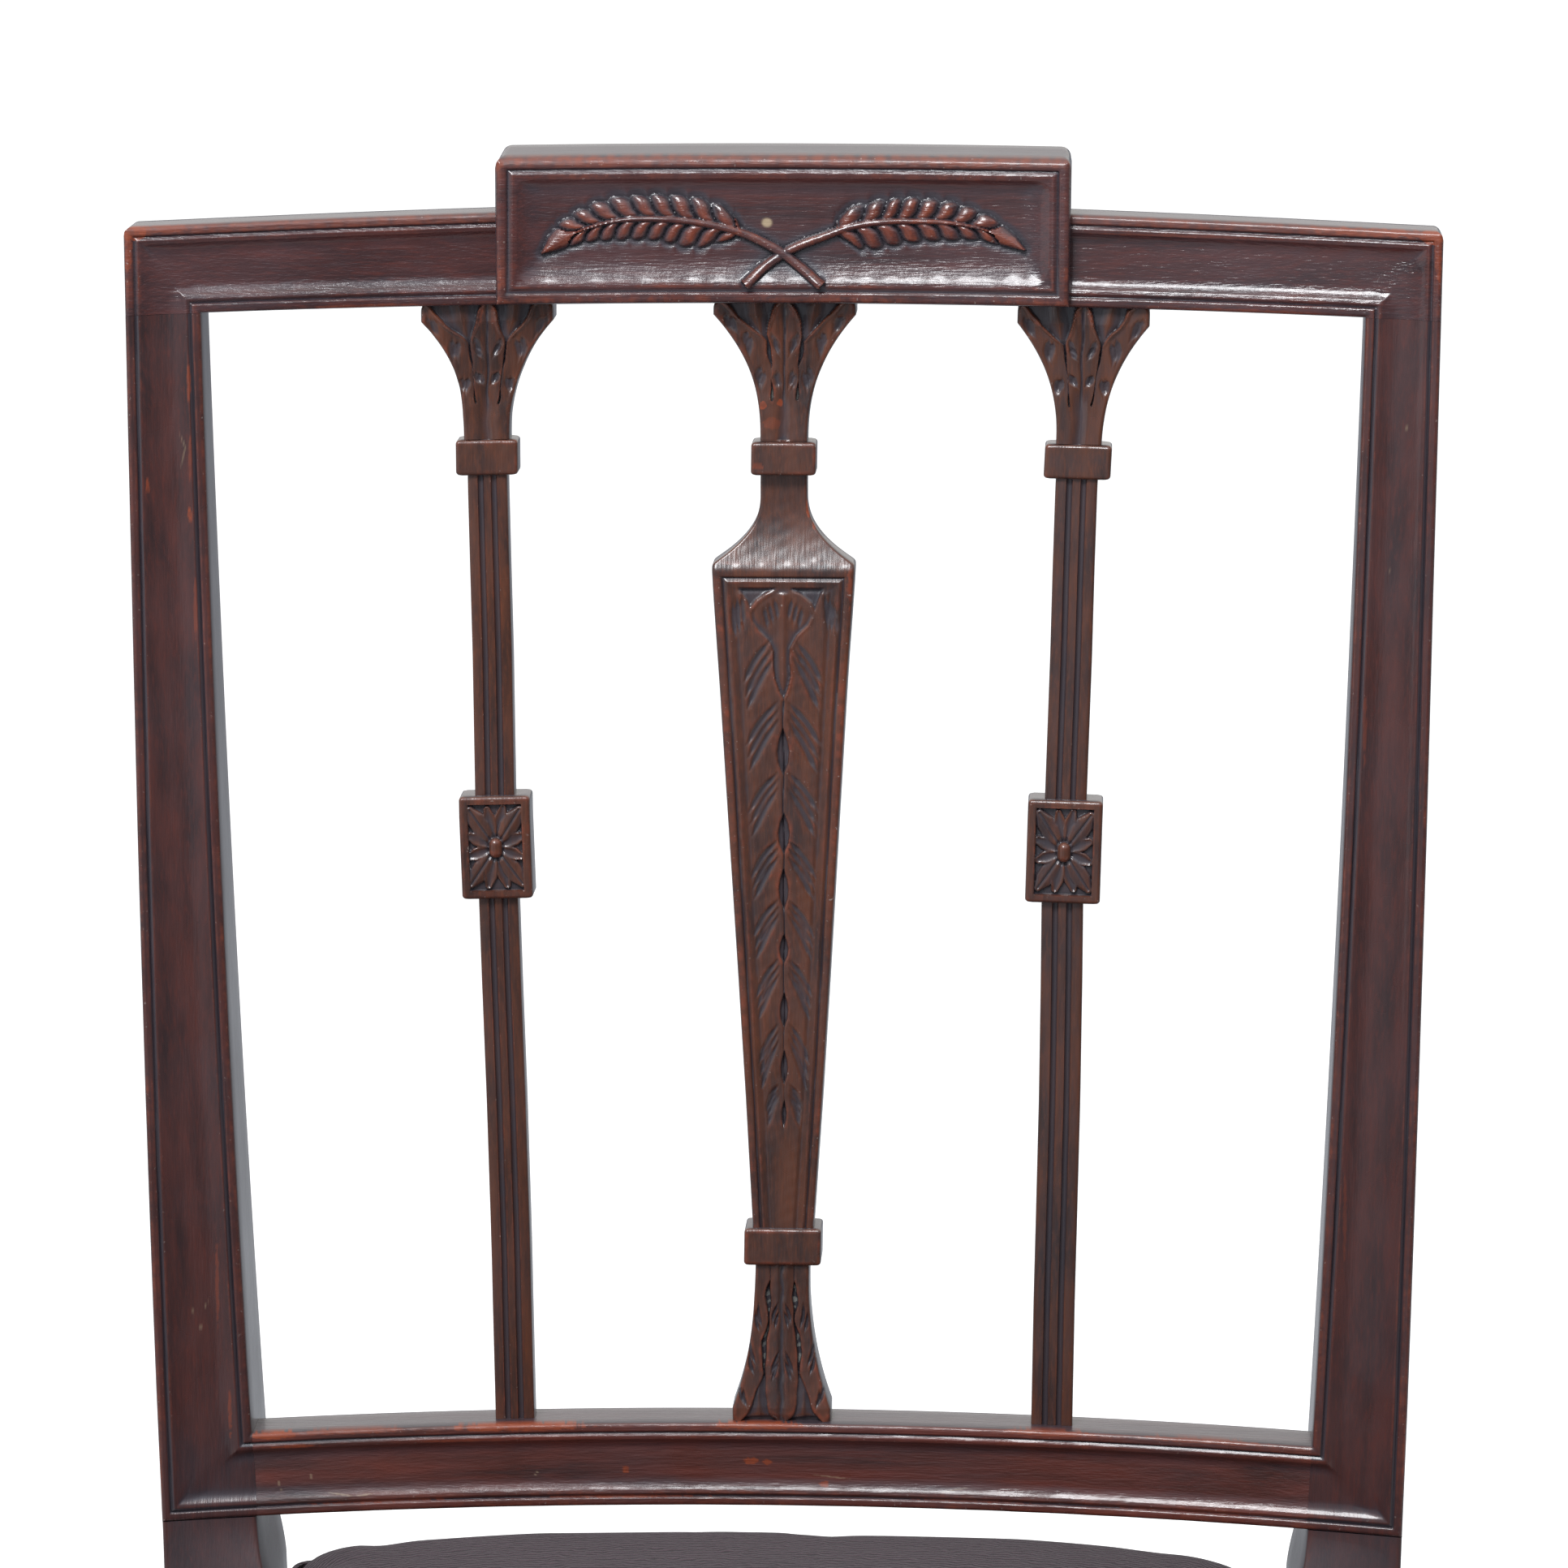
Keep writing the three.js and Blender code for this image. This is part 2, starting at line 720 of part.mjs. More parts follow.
// Front legs: square blocks at the rails, tapered on their two inner faces
function frontLeg(side) {
  const section = (z, width) => ({
    at: z,
    outline: easedRectangle(seatFrontHalf - width, seatFrontHalf, seatFront, seatFront + width, ease),
  });
  const body = loft([
    section(0, legFoot), section(railBottom, legTop), section(seatRailTop, legTop),
  ], (z, x, y) => new THREE.Vector3(side * x, y, z));
  return worked(body, [], [
    prism(seatPlan(0), ledge, seatRailTop + overrun), frontRailTenon(side, fit),
    sideRailTenon(side, -1, fit), sideStretcher(side, fit),
  ]);
}

// A straight bar of rectangular section between two points at one height
function bar(from, to, thickness, height, grow) {
  const length = from.distanceTo(to) + 2 * grow;
  const geometry = new THREE.BoxGeometry(length, thickness + 2 * grow, height + 2 * grow);
  geometry.rotateZ(Math.atan2(to.y - from.y, to.x - from.x));
  const middle = from.clone().add(to).multiplyScalar(1 / 2);
  geometry.translate(middle.x, middle.y, middle.z);
  return geometry;
}

// Places of the legs at a height: centre line of each leg and its face towards the other
function frontLegAt(z) {
  const width = lerp(legFoot, legTop, z / railBottom);
  return { x: seatFrontHalf - width / 2, face: seatFront + width };
}

function rearLegAt(z) {
  const share = 1 - z / railBottom;
  const width = lerp(blockWidth, rearFootWidth, share);
  const depth = lerp(postDepthLow, rearFootDepth, share);
  const face = blockFront + rearLegSweep * share ** 2;
  return { x: postHalfSeat - width / 2, face, middle: face + depth / 2, width };
}

function sideStretcherEnds(side) {
  const z = stretcherRise + stretcherHeight / 2;
  const front = frontLegAt(z);
  const rear = rearLegAt(z);
  return [
    new THREE.Vector3(side * front.x, front.face - stubLength, z),
    new THREE.Vector3(side * rear.x, rear.face + stubLength, z),
  ];
}

function sideStretcher(side, grow) {
  const [from, to] = sideStretcherEnds(side);
  return bar(from, to, stretcherThickness, stretcherHeight, grow);
}

function medialStretcher(grow) {
  const ends = [-1, 1].map((side) => {
    const [from, to] = sideStretcherEnds(side);
    const point = from.lerp(to, medialShare);
    point.x -= side * (stretcherThickness / 2 - stubLength * medialStubShare);
    return point;
  });
  return bar(ends[0], ends[1], stretcherThickness, stretcherHeight - 2 * ease, grow);
}

function rearStretcher(grow) {
  const z = stretcherRise + rearStretcherLift + stretcherHeight / 2;
  const { x, middle, width } = rearLegAt(z);
  const reach = x - width / 2 + stubLength;
  return bar(new THREE.Vector3(-reach, middle, z), new THREE.Vector3(reach, middle, z),
    stretcherThickness, stretcherHeight, grow);
}

// Corner blocks fill the angles behind the legs and take two screws each
const frontInnerFace = frontFace + railThickness;
const rearInnerFace = rearFace - railThickness;
const blockHigh = ledge - cornerInset;
const blockLow = blockHigh - cornerHeight;

function sideInner(y) {
  return sideOuter(y) - railThickness;
}

function cornerPlan(side, end) {
  const faceY = end > 0 ? rearInnerFace : frontInnerFace;
  const postX = end > 0 ? blockInner : legInner;
  const postY = end > 0 ? blockFront : legBack;
  const along = faceY - end * fit;
  const past = postY - end * (cornerLeg - railThickness + fit);
  const corner = postX - fit;
  const plan = [
    [corner, along], [corner, postY - end * fit], [sideInner(postY) - fit, postY - end * fit],
    [sideInner(past) - fit, past], [corner - cornerLeg + railThickness, along],
  ];
  return plan.map(([x, y]) => [side * x, y]);
}

function cornerBlock(side, end) {
  return worked(prism(cornerPlan(side, end), blockLow, blockHigh), [], screwHoles([side], [end]));
}

// The two wood screws of a corner, from the slanting face of its block into the rails
function cornerScrews(side, end, grow) {
  const plan = cornerPlan(side, end);
  const [sideX, sideY] = plan[3];
  const [crossX, crossY] = plan[4];
  const [cornerX] = plan[0];
  const gap = Math.abs(crossX - cornerX);
  const x = crossX + Math.sign(cornerX) * gap * screwSetShare;
  const slope = (sideY - crossY) / (sideX - crossX);
  const seatY = crossY + slope * (x - crossX);
  const z = (blockLow + blockHigh) / 2;
  const y = sideY + end * Math.abs(sideY - plan[2][1]) * screwSetShare;
  const seatX = sideX + (y - sideY) / slope;
  return [
    screw(new THREE.Vector3(x, seatY, z - cornerHeight / 4), new THREE.Vector3(0, end, 0),
      Math.abs(crossY - seatY), grow),
    screw(new THREE.Vector3(seatX, y, z + cornerHeight / 4), new THREE.Vector3(side, 0, 0),
      Math.abs(Math.abs(seatX) - sideInner(y)), grow),
  ];
}

function screwHoles(sides, ends) {
  return sides.flatMap((side) => ends.flatMap((end) => cornerScrews(side, end, fit)));
}

// A screw whose head lies in the slanting face, driven along a direction through a block
function screw(at, direction, through, grow) {
  const head = screwHead + grow;
  const shank = screwShank + grow;
  const length = through + screwBite;
  const seat = head + screwHeadHeight + grow;
  const start = grow > 0 ? -2 * head : head;
  const profile = [
    [0, start], [head, start], [head, seat], [shank, seat], [shank, length + grow],
    [0, length + grow],
  ].map(([r, y]) => new THREE.Vector2(r, y));
  const geometry = new THREE.LatheGeometry(profile, roundSteps);
  const turn = new THREE.Quaternion().setFromUnitVectors(new THREE.Vector3(0, 1, 0), direction);
  geometry.applyQuaternion(turn);
  geometry.translate(at.x, at.y, at.z);
  return geometry;
}

// Drop-in seat: four rails under a webbed and padded top
const slipInset = seatPlay + coverThickness + fit;
const slipLow = ledge + fit;
const slipHigh = slipLow + slipThickness;
const slipPlan = seatPlan(slipInset);
const slipFront = slipPlan[0][1];
const slipBack = slipPlan[3][1];
const slipNotch = slipPlan[2];

function slipCross(end) {
  const plan = end < 0
    ? [slipPlan[0], slipEdge(slipFront + slipWidth)]
    : [slipEdge(slipNotch[1] - slipWidth + tenonShoulder), slipPlan[1], slipPlan[2], slipPlan[3]];
  const outline = [...plan, ...plan.map(([x, y]) => [-x, y]).reverse()];
  const tenons = [-1, 1].map((side) => slipTenon(side, end, fit));
  return worked(prism(outline, slipLow, slipHigh), [], tenons);
}

// Outer edge of the slip frame at a depth
function slipEdge(y) {
  return [sideOuter(y) - railThickness + rebateWidth - slipInset, y];
}

function slipSideSpan() {
  return [slipFront + slipWidth + fit, slipNotch[1] - slipWidth + tenonShoulder - fit];
}

function slipTenon(side, end, grow) {
  const span = slipSideSpan();
  const shoulder = end < 0 ? span[0] : span[1];
  const reach = shoulder + end * (slipTenonLength + grow);
  const root = shoulder - end * slipTenonLength / 2;
  const middle = (slipLow + slipHigh) / 2;
  const half = slipTenonThickness / 2 + grow;
  const outline = rectangle(tenonShoulder - grow, slipWidth - tenonShoulder + grow,
    middle - half, middle + half);
  return loft([{ at: root, outline }, { at: reach, outline }],
    (y, inward, z) => new THREE.Vector3(side * (slipEdge(y)[0] - inward), y, z));
}

function slipSide(side) {
  const outline = rectangle(0, slipWidth, slipLow, slipHigh);
  const body = loft(slipSideSpan().map((y) => ({ at: y, outline })),
    (y, inward, z) => new THREE.Vector3(side * (slipEdge(y)[0] - inward), y, z));
  return worked(body, [-1, 1].map((end) => slipTenon(side, end, 0)), []);
}

// Jute webbing: strips from front to back, and strips across them
const webLow = slipHigh + fit;
const webCrossLow = webLow + webThickness + fit;

function longWeb(share) {
  const x = lerp(-slipNotch[0], slipNotch[0], share);
  return box(x - webWidth / 2, x + webWidth / 2, slipFront + webInset, slipBack - webInset,
    webLow, webLow + webThickness);
}

function crossWeb(share) {
  const y = lerp(slipFront, slipBack, share);
  const half = slipEdge(y)[0] - webInset;
  return box(-half, half, y - webWidth / 2, y + webWidth / 2,
    webCrossLow, webCrossLow + webThickness);
}

// Padded top: a crowned form with a rolled edge, drawn in between its corners above the frame,
// with a straight border that wraps the frame
function seatPad() {
  const plan = seatPlan(seatPlay);
  const [front, back] = [plan[0][1], plan[3][1]];
  const edgeAt = (y) => sideOuter(y) - railThickness + rebateWidth - seatPlay;
  const shares = steps(padSteps).map((share) => Math.sin(Math.PI * (share - 1 / 2)));
  const count = shares.length;
  const grid = shares.flatMap((b) => shares.map((a) => [a, b]));
  const borderLow = ledge + fit;
  const borderHigh = slipHigh + coverThickness;
  const flat = (z) => ([a, b]) => {
    const y = lerp(front, back, (b + 1) / 2);
    return new THREE.Vector3(a * edgeAt(y), y, z);
  };
  const crowned = ([a, b]) => {
    const y = lerp(front, back, (b + 1) / 2);
    const half = edgeAt(y);
    const near = Math.min((1 - Math.abs(a)) * half, y - front, back - y);
    const share = 1 - THREE.MathUtils.clamp(near / padRollWidth, 0, 1);
    const corner = 1 - padCornerShare * (a * b) ** 2;
    const roll = padRoll * Math.sqrt(1 - share * share) * corner;
    const crown = padCrown * (1 - a * a) * (1 - b * b);
    return new THREE.Vector3(
      a * (half - padDrawIn * (1 - b * b)),
      y - b * Math.abs(b) * padDrawIn * (1 - a * a),
      seatRailTop + padEdge + roll + crown,
    );
  };
  const sheet = count * count;
  const rim = [
    ...shares.slice(1).map((_, i) => i),
    ...shares.slice(1).map((_, i) => i * count + padSteps),
    ...shares.slice(1).map((_, i) => sheet - 1 - i),
    ...shares.slice(1).map((_, i) => (padSteps - i) * count),
  ];
  const points = [
    ...grid.map(crowned), ...grid.map(flat(borderLow)),
    ...rim.map((i) => flat(borderHigh)(grid[i])),
  ];
  const index = [];
  for (let j = 0; j < padSteps; j += 1) {
    for (let i = 0; i < padSteps; i += 1) {
      const a = j * count + i;
      const under = a + sheet;
      index.push(a, a + 1, a + count + 1, a, a + count + 1, a + count);
      index.push(under, under + count + 1, under + 1, under, under + count, under + count + 1);
    }
  }
  rim.forEach((top, i) => {
    const next = (i + 1) % rim.length;
    const [topNext, low, lowNext] = [rim[next], top + sheet, rim[next] + sheet];
    const [mid, midNext] = [2 * sheet + i, 2 * sheet + next];
    index.push(top, mid, midNext, top, midNext, topNext);
    index.push(mid, low, lowNext, mid, lowNext, midNext);
  });
  const geometry = new THREE.BufferGeometry();
  geometry.setAttribute('position',
    new THREE.Float32BufferAttribute(points.flatMap((p) => p.toArray()), 3));
  geometry.setIndex(index);
  const [notchX, notchY] = plan[2];
  const tall = seatRailTop + padEdge + padRoll + padCrown + overrun;
  const notches = [-1, 1].map((side) => {
    const ends = [side * notchX, side * (seatFrontHalf + overrun)];
    return box(Math.min(...ends), Math.max(...ends), notchY, back + overrun,
      borderLow - overrun, tall);
  });
  const hollowTop = webCrossLow + webThickness + fit;
  const hollow = prism(seatPlan(slipInset - fit), borderLow - overrun, hollowTop);
  return worked(geometry, [], [...notches, hollow]);
}

// Assembly
add('crest_rail', crestRail(), mahogany);
add('stay_rail', stayRail(), mahogany);
add('centre_splat', centreSplat(), mahogany);
add('rear_seat_rail', crossRail(blockInner, rearFace, -1, rearRailTenon,
  screwHoles([-1, 1], [1])), mahogany);
add('front_seat_rail', crossRail(legInner, frontFace, 1, frontRailTenon,
  screwHoles([-1, 1], [-1])), mahogany);
for (const [hand, side] of [['left', -1], ['right', 1]]) {
  add(`${hand}_rear_post`, rearPost(side), mahogany);
  add(`${hand}_upright`, reededUpright(side), mahogany);
  add(`${hand}_front_leg`, frontLeg(side), mahogany);
  add(`${hand}_seat_rail`, sideRail(side), mahogany);
  add(`${hand}_stretcher`, worked(sideStretcher(side, 0), [], [medialStretcher(fit)]), mahogany);
  add(`${hand}_slip_rail`, slipSide(side), beech);
  for (const [place, end] of [['front', -1], ['rear', 1]]) {
    add(`${hand}_${place}_corner_block`, cornerBlock(side, end), beech);
    const [cross, along] = cornerScrews(side, end, 0);
    add(`${hand}_${place}_cross_screw`, closed(cross), steel);
    add(`${hand}_${place}_side_screw`, closed(along), steel);
  }
}
add('medial_stretcher', medialStretcher(0), mahogany);
add('rear_stretcher', rearStretcher(0), mahogany);
add('front_slip_rail', slipCross(-1), beech);
add('rear_slip_rail', slipCross(1), beech);
for (let i = 1; i <= webCount; i += 1) {
  add(`long_web_${i}`, longWeb(i / (webCount + 1)), jute);
  add(`cross_web_${i}`, crossWeb(i / (webCount + 1)), jute);
}
add('seat_pad', seatPad(), fabric);

// The origin is under the middle of the whole chair
const extent = new THREE.Box3().setFromObject(chair);
chair.position.y = -(extent.min.y + extent.max.y) / 2;
chair.updateMatrixWorld(true);

export default chair;
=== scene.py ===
import math
import bpy
import numpy as np
from mathutils import Matrix, Vector


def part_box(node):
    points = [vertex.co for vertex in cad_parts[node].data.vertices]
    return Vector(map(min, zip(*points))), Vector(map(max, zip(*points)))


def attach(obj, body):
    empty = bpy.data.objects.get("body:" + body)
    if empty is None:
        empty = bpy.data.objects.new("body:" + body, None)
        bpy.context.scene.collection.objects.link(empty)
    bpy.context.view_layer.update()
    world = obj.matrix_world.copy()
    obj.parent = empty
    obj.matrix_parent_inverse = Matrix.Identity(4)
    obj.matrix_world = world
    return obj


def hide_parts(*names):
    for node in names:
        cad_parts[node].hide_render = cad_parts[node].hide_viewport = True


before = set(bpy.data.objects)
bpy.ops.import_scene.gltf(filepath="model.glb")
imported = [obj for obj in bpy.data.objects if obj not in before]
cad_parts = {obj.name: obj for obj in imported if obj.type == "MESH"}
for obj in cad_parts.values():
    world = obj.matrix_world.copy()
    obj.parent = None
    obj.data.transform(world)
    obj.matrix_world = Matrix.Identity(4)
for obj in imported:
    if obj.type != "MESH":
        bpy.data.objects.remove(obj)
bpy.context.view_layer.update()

MM = 0.001

# Back of the chair, measured on its own slope: across, up from the base line, and behind the front
back_rake = math.radians(7)
back_lift = 6
post_sweep = 31
rail_bow = 23
stay_low = 29.7
stay_high = 61.9
crest_low = 476.8
crest_top = 508.4
rail_depth = 22
seat_rail_top = 422
seat_rail_height = 62
back_base = seat_rail_top + back_lift

# Rear posts
post_half_seat = 230.4
post_half_top = 239.5
block_width = 41
post_width_low = 35
post_width_high = 27.1
post_hollow = 0.9
post_depth_low = 44
post_depth_high = 22
scoop_height = 24
rear_leg_sweep = 48
rear_foot_width = 27
rear_foot_depth = 30
seat_depth = 456

# Uprights and splat
upright_half_low = 100.7
upright_half_high = 109.4
upright_setback = 8
shaft_back = upright_setback + 10
collar_top = crest_low - 50.2
collar_low = collar_top - 12.3
piece_gap = 0.03

block_front = -math.tan(back_rake) * back_lift / 2
seat_front = block_front + post_depth_low - seat_depth
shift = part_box("left_front_leg")[0][1] / MM - seat_front


def mix(a, b, share):
    return a + (b - a) * share


def ramp(value, start, end):
    """0 before start, 1 after end, and a smooth rise between them."""
    t = np.clip((value - start) / (end - start), 0, 1)
    return t * t * (3 - 2 * t)


def rounded(edge, radius):
    """How far a rounded edge falls back at a distance from it."""
    inside = np.clip(radius - edge, 0, radius)
    return radius - np.sqrt(radius**2 - inside**2)


def back_point(across, up, behind):
    """Points on the back of the chair, in metres."""
    across, up, behind = np.broadcast_arrays(across, up, behind)
    bow = rail_bow * (1 - (across / post_half_top) ** 2)
    sweep = post_sweep * (up / crest_top) ** 2
    y = up * math.sin(back_rake) + sweep + bow + behind * math.cos(back_rake) + shift
    z = back_base + up * math.cos(back_rake) - behind * math.sin(back_rake)
    return np.stack([across, y, z], axis=-1) * MM


def post_bulge(up):
    """How far a post's outer edge swells beyond a straight line."""
    return np.interp(up, (0, 80, 140, 190, 290, 380, 490), (0, 0.65, 0.83, 0.88, 0.8, 0.48, 0.34))


def post_outer(up):
    return mix(post_half_seat, post_half_top, np.maximum(up, 0) / crest_top) + post_bulge(up)


def post_inner(up):
    share = (up - stay_low) / (crest_low - stay_low)
    width = mix(post_width_low, post_width_high, share) - 4 * post_hollow * share * (1 - share)
    return post_outer(up) - width - 0.6 * post_bulge(up)


def crest_arch(across):
    """How far the top of the crest rail rises towards its tablet."""
    return 1.5 * np.clip((235 - np.abs(across)) / 130, 0, 1) ** 1.3


def post_depth(up):
    return mix(post_depth_low, post_depth_high, np.maximum(up, 0) / crest_low)


def soften(field, size):
    """A field blurred over a number of cells each way."""
    for axis in (0, 1):
        for _ in range(2):
            pad = [(size, size) if k == axis else (0, 0) for k in (0, 1)]
            total = np.cumsum(np.pad(field, pad, mode="edge"), axis=axis)
            total = np.insert(total, 0, 0, axis=axis)
            high = np.take(total, range(2 * size + 1, total.shape[axis]), axis=axis)
            low = np.take(total, range(total.shape[axis] - 2 * size - 1), axis=axis)
            field = (high - low) / (2 * size + 1)
    return field


def ripple(a, b, pitch, seed):
    """Smooth seeded unevenness between about -1 and 1 over places a and b."""
    rng = np.random.default_rng(seed)
    a, b = np.broadcast_arrays(a, b)
    total = np.zeros(a.shape)
    for _ in range(8):
        turn = rng.uniform(0, 2 * math.pi)
        scale = 2 * math.pi / (pitch * rng.uniform(0.7, 1.6))
        wave = (a * math.cos(turn) + b * math.sin(turn)) * scale
        total += np.sin(wave + rng.uniform(0, 2 * math.pi))
    return total / 4


# Meshes
def make_piece(name, points, faces, material, marks=None, sharp=50):
    """An object from (n, 3) points in metres and a list of face arrays with one corner count each."""
    mesh = bpy.data.meshes.new(name)
    loops = np.concatenate([np.asarray(f).ravel() for f in faces]).astype(np.int32)
    counts = np.concatenate([np.full(len(f), np.shape(f)[1]) for f in faces]).astype(np.int32)
    starts = np.concatenate([[0], np.cumsum(counts)[:-1]]).astype(np.int32)
    mesh.vertices.add(len(points))
    mesh.vertices.foreach_set("co", np.asarray(points, dtype=np.float32).ravel())
    mesh.loops.add(len(loops))
    mesh.loops.foreach_set("vertex_index", loops)
    mesh.polygons.add(len(counts))
    mesh.polygons.foreach_set("loop_start", starts)
    mesh.update(calc_edges=True)
    mesh.validate()
    mesh.polygons.foreach_set("use_smooth", np.ones(len(mesh.polygons), dtype=bool))
    for key, values in (marks or {}).items():
        layer = mesh.attributes.new(key, "FLOAT", "POINT")
        layer.data.foreach_set("value", np.asarray(values, dtype=np.float32).ravel())
    mesh.set_sharp_from_angle(angle=math.radians(sharp))
    mesh.materials.append(material)
    piece = bpy.data.objects.new(name, mesh)
    bpy.context.scene.collection.objects.link(piece)
    return piece


def signed_volume(points, quads):
    a, b, c, d = (points[quads[:, k]] for k in range(4))
    return float(np.sum(a * np.cross(b, c)) + np.sum(a * np.cross(c, d)))


def skin(name, points, material, marks=None, sharp=50):
    """A closed skin through rows of points, shaped (rows, round, 3), with both ends capped."""
    rows, count = points.shape[:2]
    k = np.arange(rows * count).reshape(rows, count)
    after = np.roll(k, -1, axis=1)
    quads = np.stack([k[:-1], after[:-1], after[1:], k[1:]], axis=-1).reshape(-1, 4)
    caps = [k[:1, ::-1], k[-1:]]
    flat = points.reshape(-1, 3)
    if signed_volume(flat, quads) < 0:
        quads = quads[:, ::-1]
        caps = [cap[:, ::-1] for cap in caps]
    return make_piece(name, flat, [quads, *caps], material, marks, sharp)


def ring(left, right, front, back, corner=1.2, side=4, rear=4):
    """Outlines round a member, row by row: its front from left to right, and then its other faces.

    left, right and back hold one number a row, and front one row of depths each. Returns the
    places across and behind, and how many of them lie on the front.
    """
    count = front.shape[1]
    share = np.linspace(0, 1, count)[None]
    left, right, back = (np.broadcast_to(np.atleast_1d(v), len(front))[:, None]
                         for v in (left, right, back))
    across = [mix(left, right, share)]
    behind = [front]
    down = np.linspace(0, 1, side + 1)[None, 1:]
    turn = np.linspace(0, math.pi / 2, 4)[None, 1:]
    flat = np.linspace(0, 1, rear + 1)[None, 1:]
    low = back - corner
    across += [right + 0 * down, right - corner * (1 - np.cos(turn))]
    behind += [mix(front[:, -1:], low, down), low + corner * np.sin(turn)]
    across += [mix(right - corner, left + corner, flat)]
    behind += [back + 0 * flat]
    across += [left + corner * (1 - np.sin(turn)), left + 0 * down[:, :-1]]
    behind += [low + corner * np.cos(turn), mix(low, front[:, :1], down[:, :-1])]
    return np.concatenate(across, axis=1), np.concatenate(behind, axis=1), count


def hollows(front, size, total, kinds=None, spread=0.35):
    """Marks for rows of outlines: how far each point of the front lies in a hollow, or on an edge, with
    painted shade over whole coves; the other faces get a middling, darker mark.
    """
    marks = np.zeros((len(front), total))
    kinds = np.zeros(len(front)) if kinds is None else kinds
    for kind in np.unique(kinds):
        own = kinds == kind
        broad = front[own] - soften(front[own], 3 * size)
        fine = front[own] - soften(front[own], size)
        # Painted shade: the broad part darkens whole coves
        marks[own, : front.shape[1]] = fine + spread * np.maximum(broad, 0)
    marks[:, front.shape[1]:] = 0.5
    return marks


def on_front(shape, fronts, values, beyond=0.0):
    """Marks for rows of outlines: values on the front, and one number on the other faces."""
    marks = np.full(shape, float(beyond))
    marks[:, :fronts] = values
    return marks


def frame_piece(name, points, material, marks, node_name, sharp=50):
    """A skin that stands for a node of the frame."""
    piece = skin(name, points, material, marks, sharp)
    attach(piece, "frame")
    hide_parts(node_name)


# Moulding of the back's frame: a rim, a V cut with a long slope, a small bead, a cove and a sunk field
rim = 3.3
rim_fall = 0.25
cut_wall = 0.3
cut_slope = 1.35
cut_depth = 1.05
arris_depth = 0.15
bead = 1.4
bead_depth = 0.45
cove = 4.8
field_sink = 2.3
post_cove = 7
post_sink = 1.7
rim_round = 1.7
mitre_blend = 6
# Share of a carving's darkness laid on the hollow mark: dark old polish and painted shade
polish_and_shade_share = 0.55


def cut_and_bead(beyond, scale=1.0):
    """Depth past a rim's inner edge: down the V's wall, up its slope to the arris, over the bead."""
    places = np.array([0, cut_wall, cut_wall + cut_slope, cut_wall + cut_slope + 0.2,
                       cut_wall + cut_slope + bead])
    depths = (rim_fall, cut_depth, arris_depth, arris_depth - 0.03, bead_depth)
    return np.interp(beyond, places * scale, depths)


def moulding(edge, gentle):
    """Depth of the moulding at a distance from the frame's edge, gentle on the posts."""
    inner = cut_wall + cut_slope + bead
    depth = rounded(edge, rim_round) + rounded(np.maximum(rim - edge, 0), 0.7) * 0.5
    depth = np.where(edge >= rim, cut_and_bead(edge - rim), depth)
    along = np.clip((edge - rim - inner) / cove, 0, 1)
    hollow = mix(bead_depth, field_sink, 1 - (1 - along) ** 2.4)
    along = np.clip((edge - rim - inner) / post_cove, 0, 1)
    soft = mix(bead_depth, post_sink, 1 - (1 - along) ** 2)
    return np.where(edge >= rim + inner, mix(hollow, soft, gentle), depth)


def frame_edges(across, up):
    """Distances from the frame's outer and inner edges, and how far each of the two is a post's edge."""
    half = np.abs(across)
    side, end = post_outer(up) - half, np.minimum(crest_top + crest_arch(across) - up, up - stay_low)
    in_side, in_end = half - post_inner(up), np.maximum(up - crest_low, stay_high - up)
    on_side = ramp(end - side, -mitre_blend, mitre_blend)
    on_inner_side = ramp(in_side - in_end, -mitre_blend, mitre_blend)
    return np.minimum(side, end), np.maximum(in_side, in_end), on_side, on_inner_side


def frame_depth(across, up):
    """Depth of the moulded frame of the back, mitred at its corners."""
    outer, inner, on_side, in_side = frame_edges(across, up)
    depth = np.minimum(moulding(np.maximum(outer, 0), on_side), moulding(np.maximum(inner, 0), in_side))
    wander = ripple(across, up, 26, 3) * 0.08 + ripple(across, up, 7, 4) * 0.02
    return depth + wander


def ledge_rows(*places):
    """Rows up a member: each place is a pair of a height and the spacing that follows it."""
    rows = []
    for (start, step), (end, _) in zip(places[:-1], places[1:]):
        count = max(int(round(abs(end - start) / step)), 1)
        rows.append(np.linspace(start, end, count, endpoint=False))
    rows.append(np.array([places[-1][0]]))
    return np.concatenate(rows)


# Materials
def srgb(r, g, b):
    """A linear colour from its 0 to 255 screen values."""
    def linear(v):
        v /= 255
        return v / 12.92 if v < 0.04045 else ((v + 0.055) / 1.055) ** 2.4
    return tuple(linear(v) for v in (r, g, b))


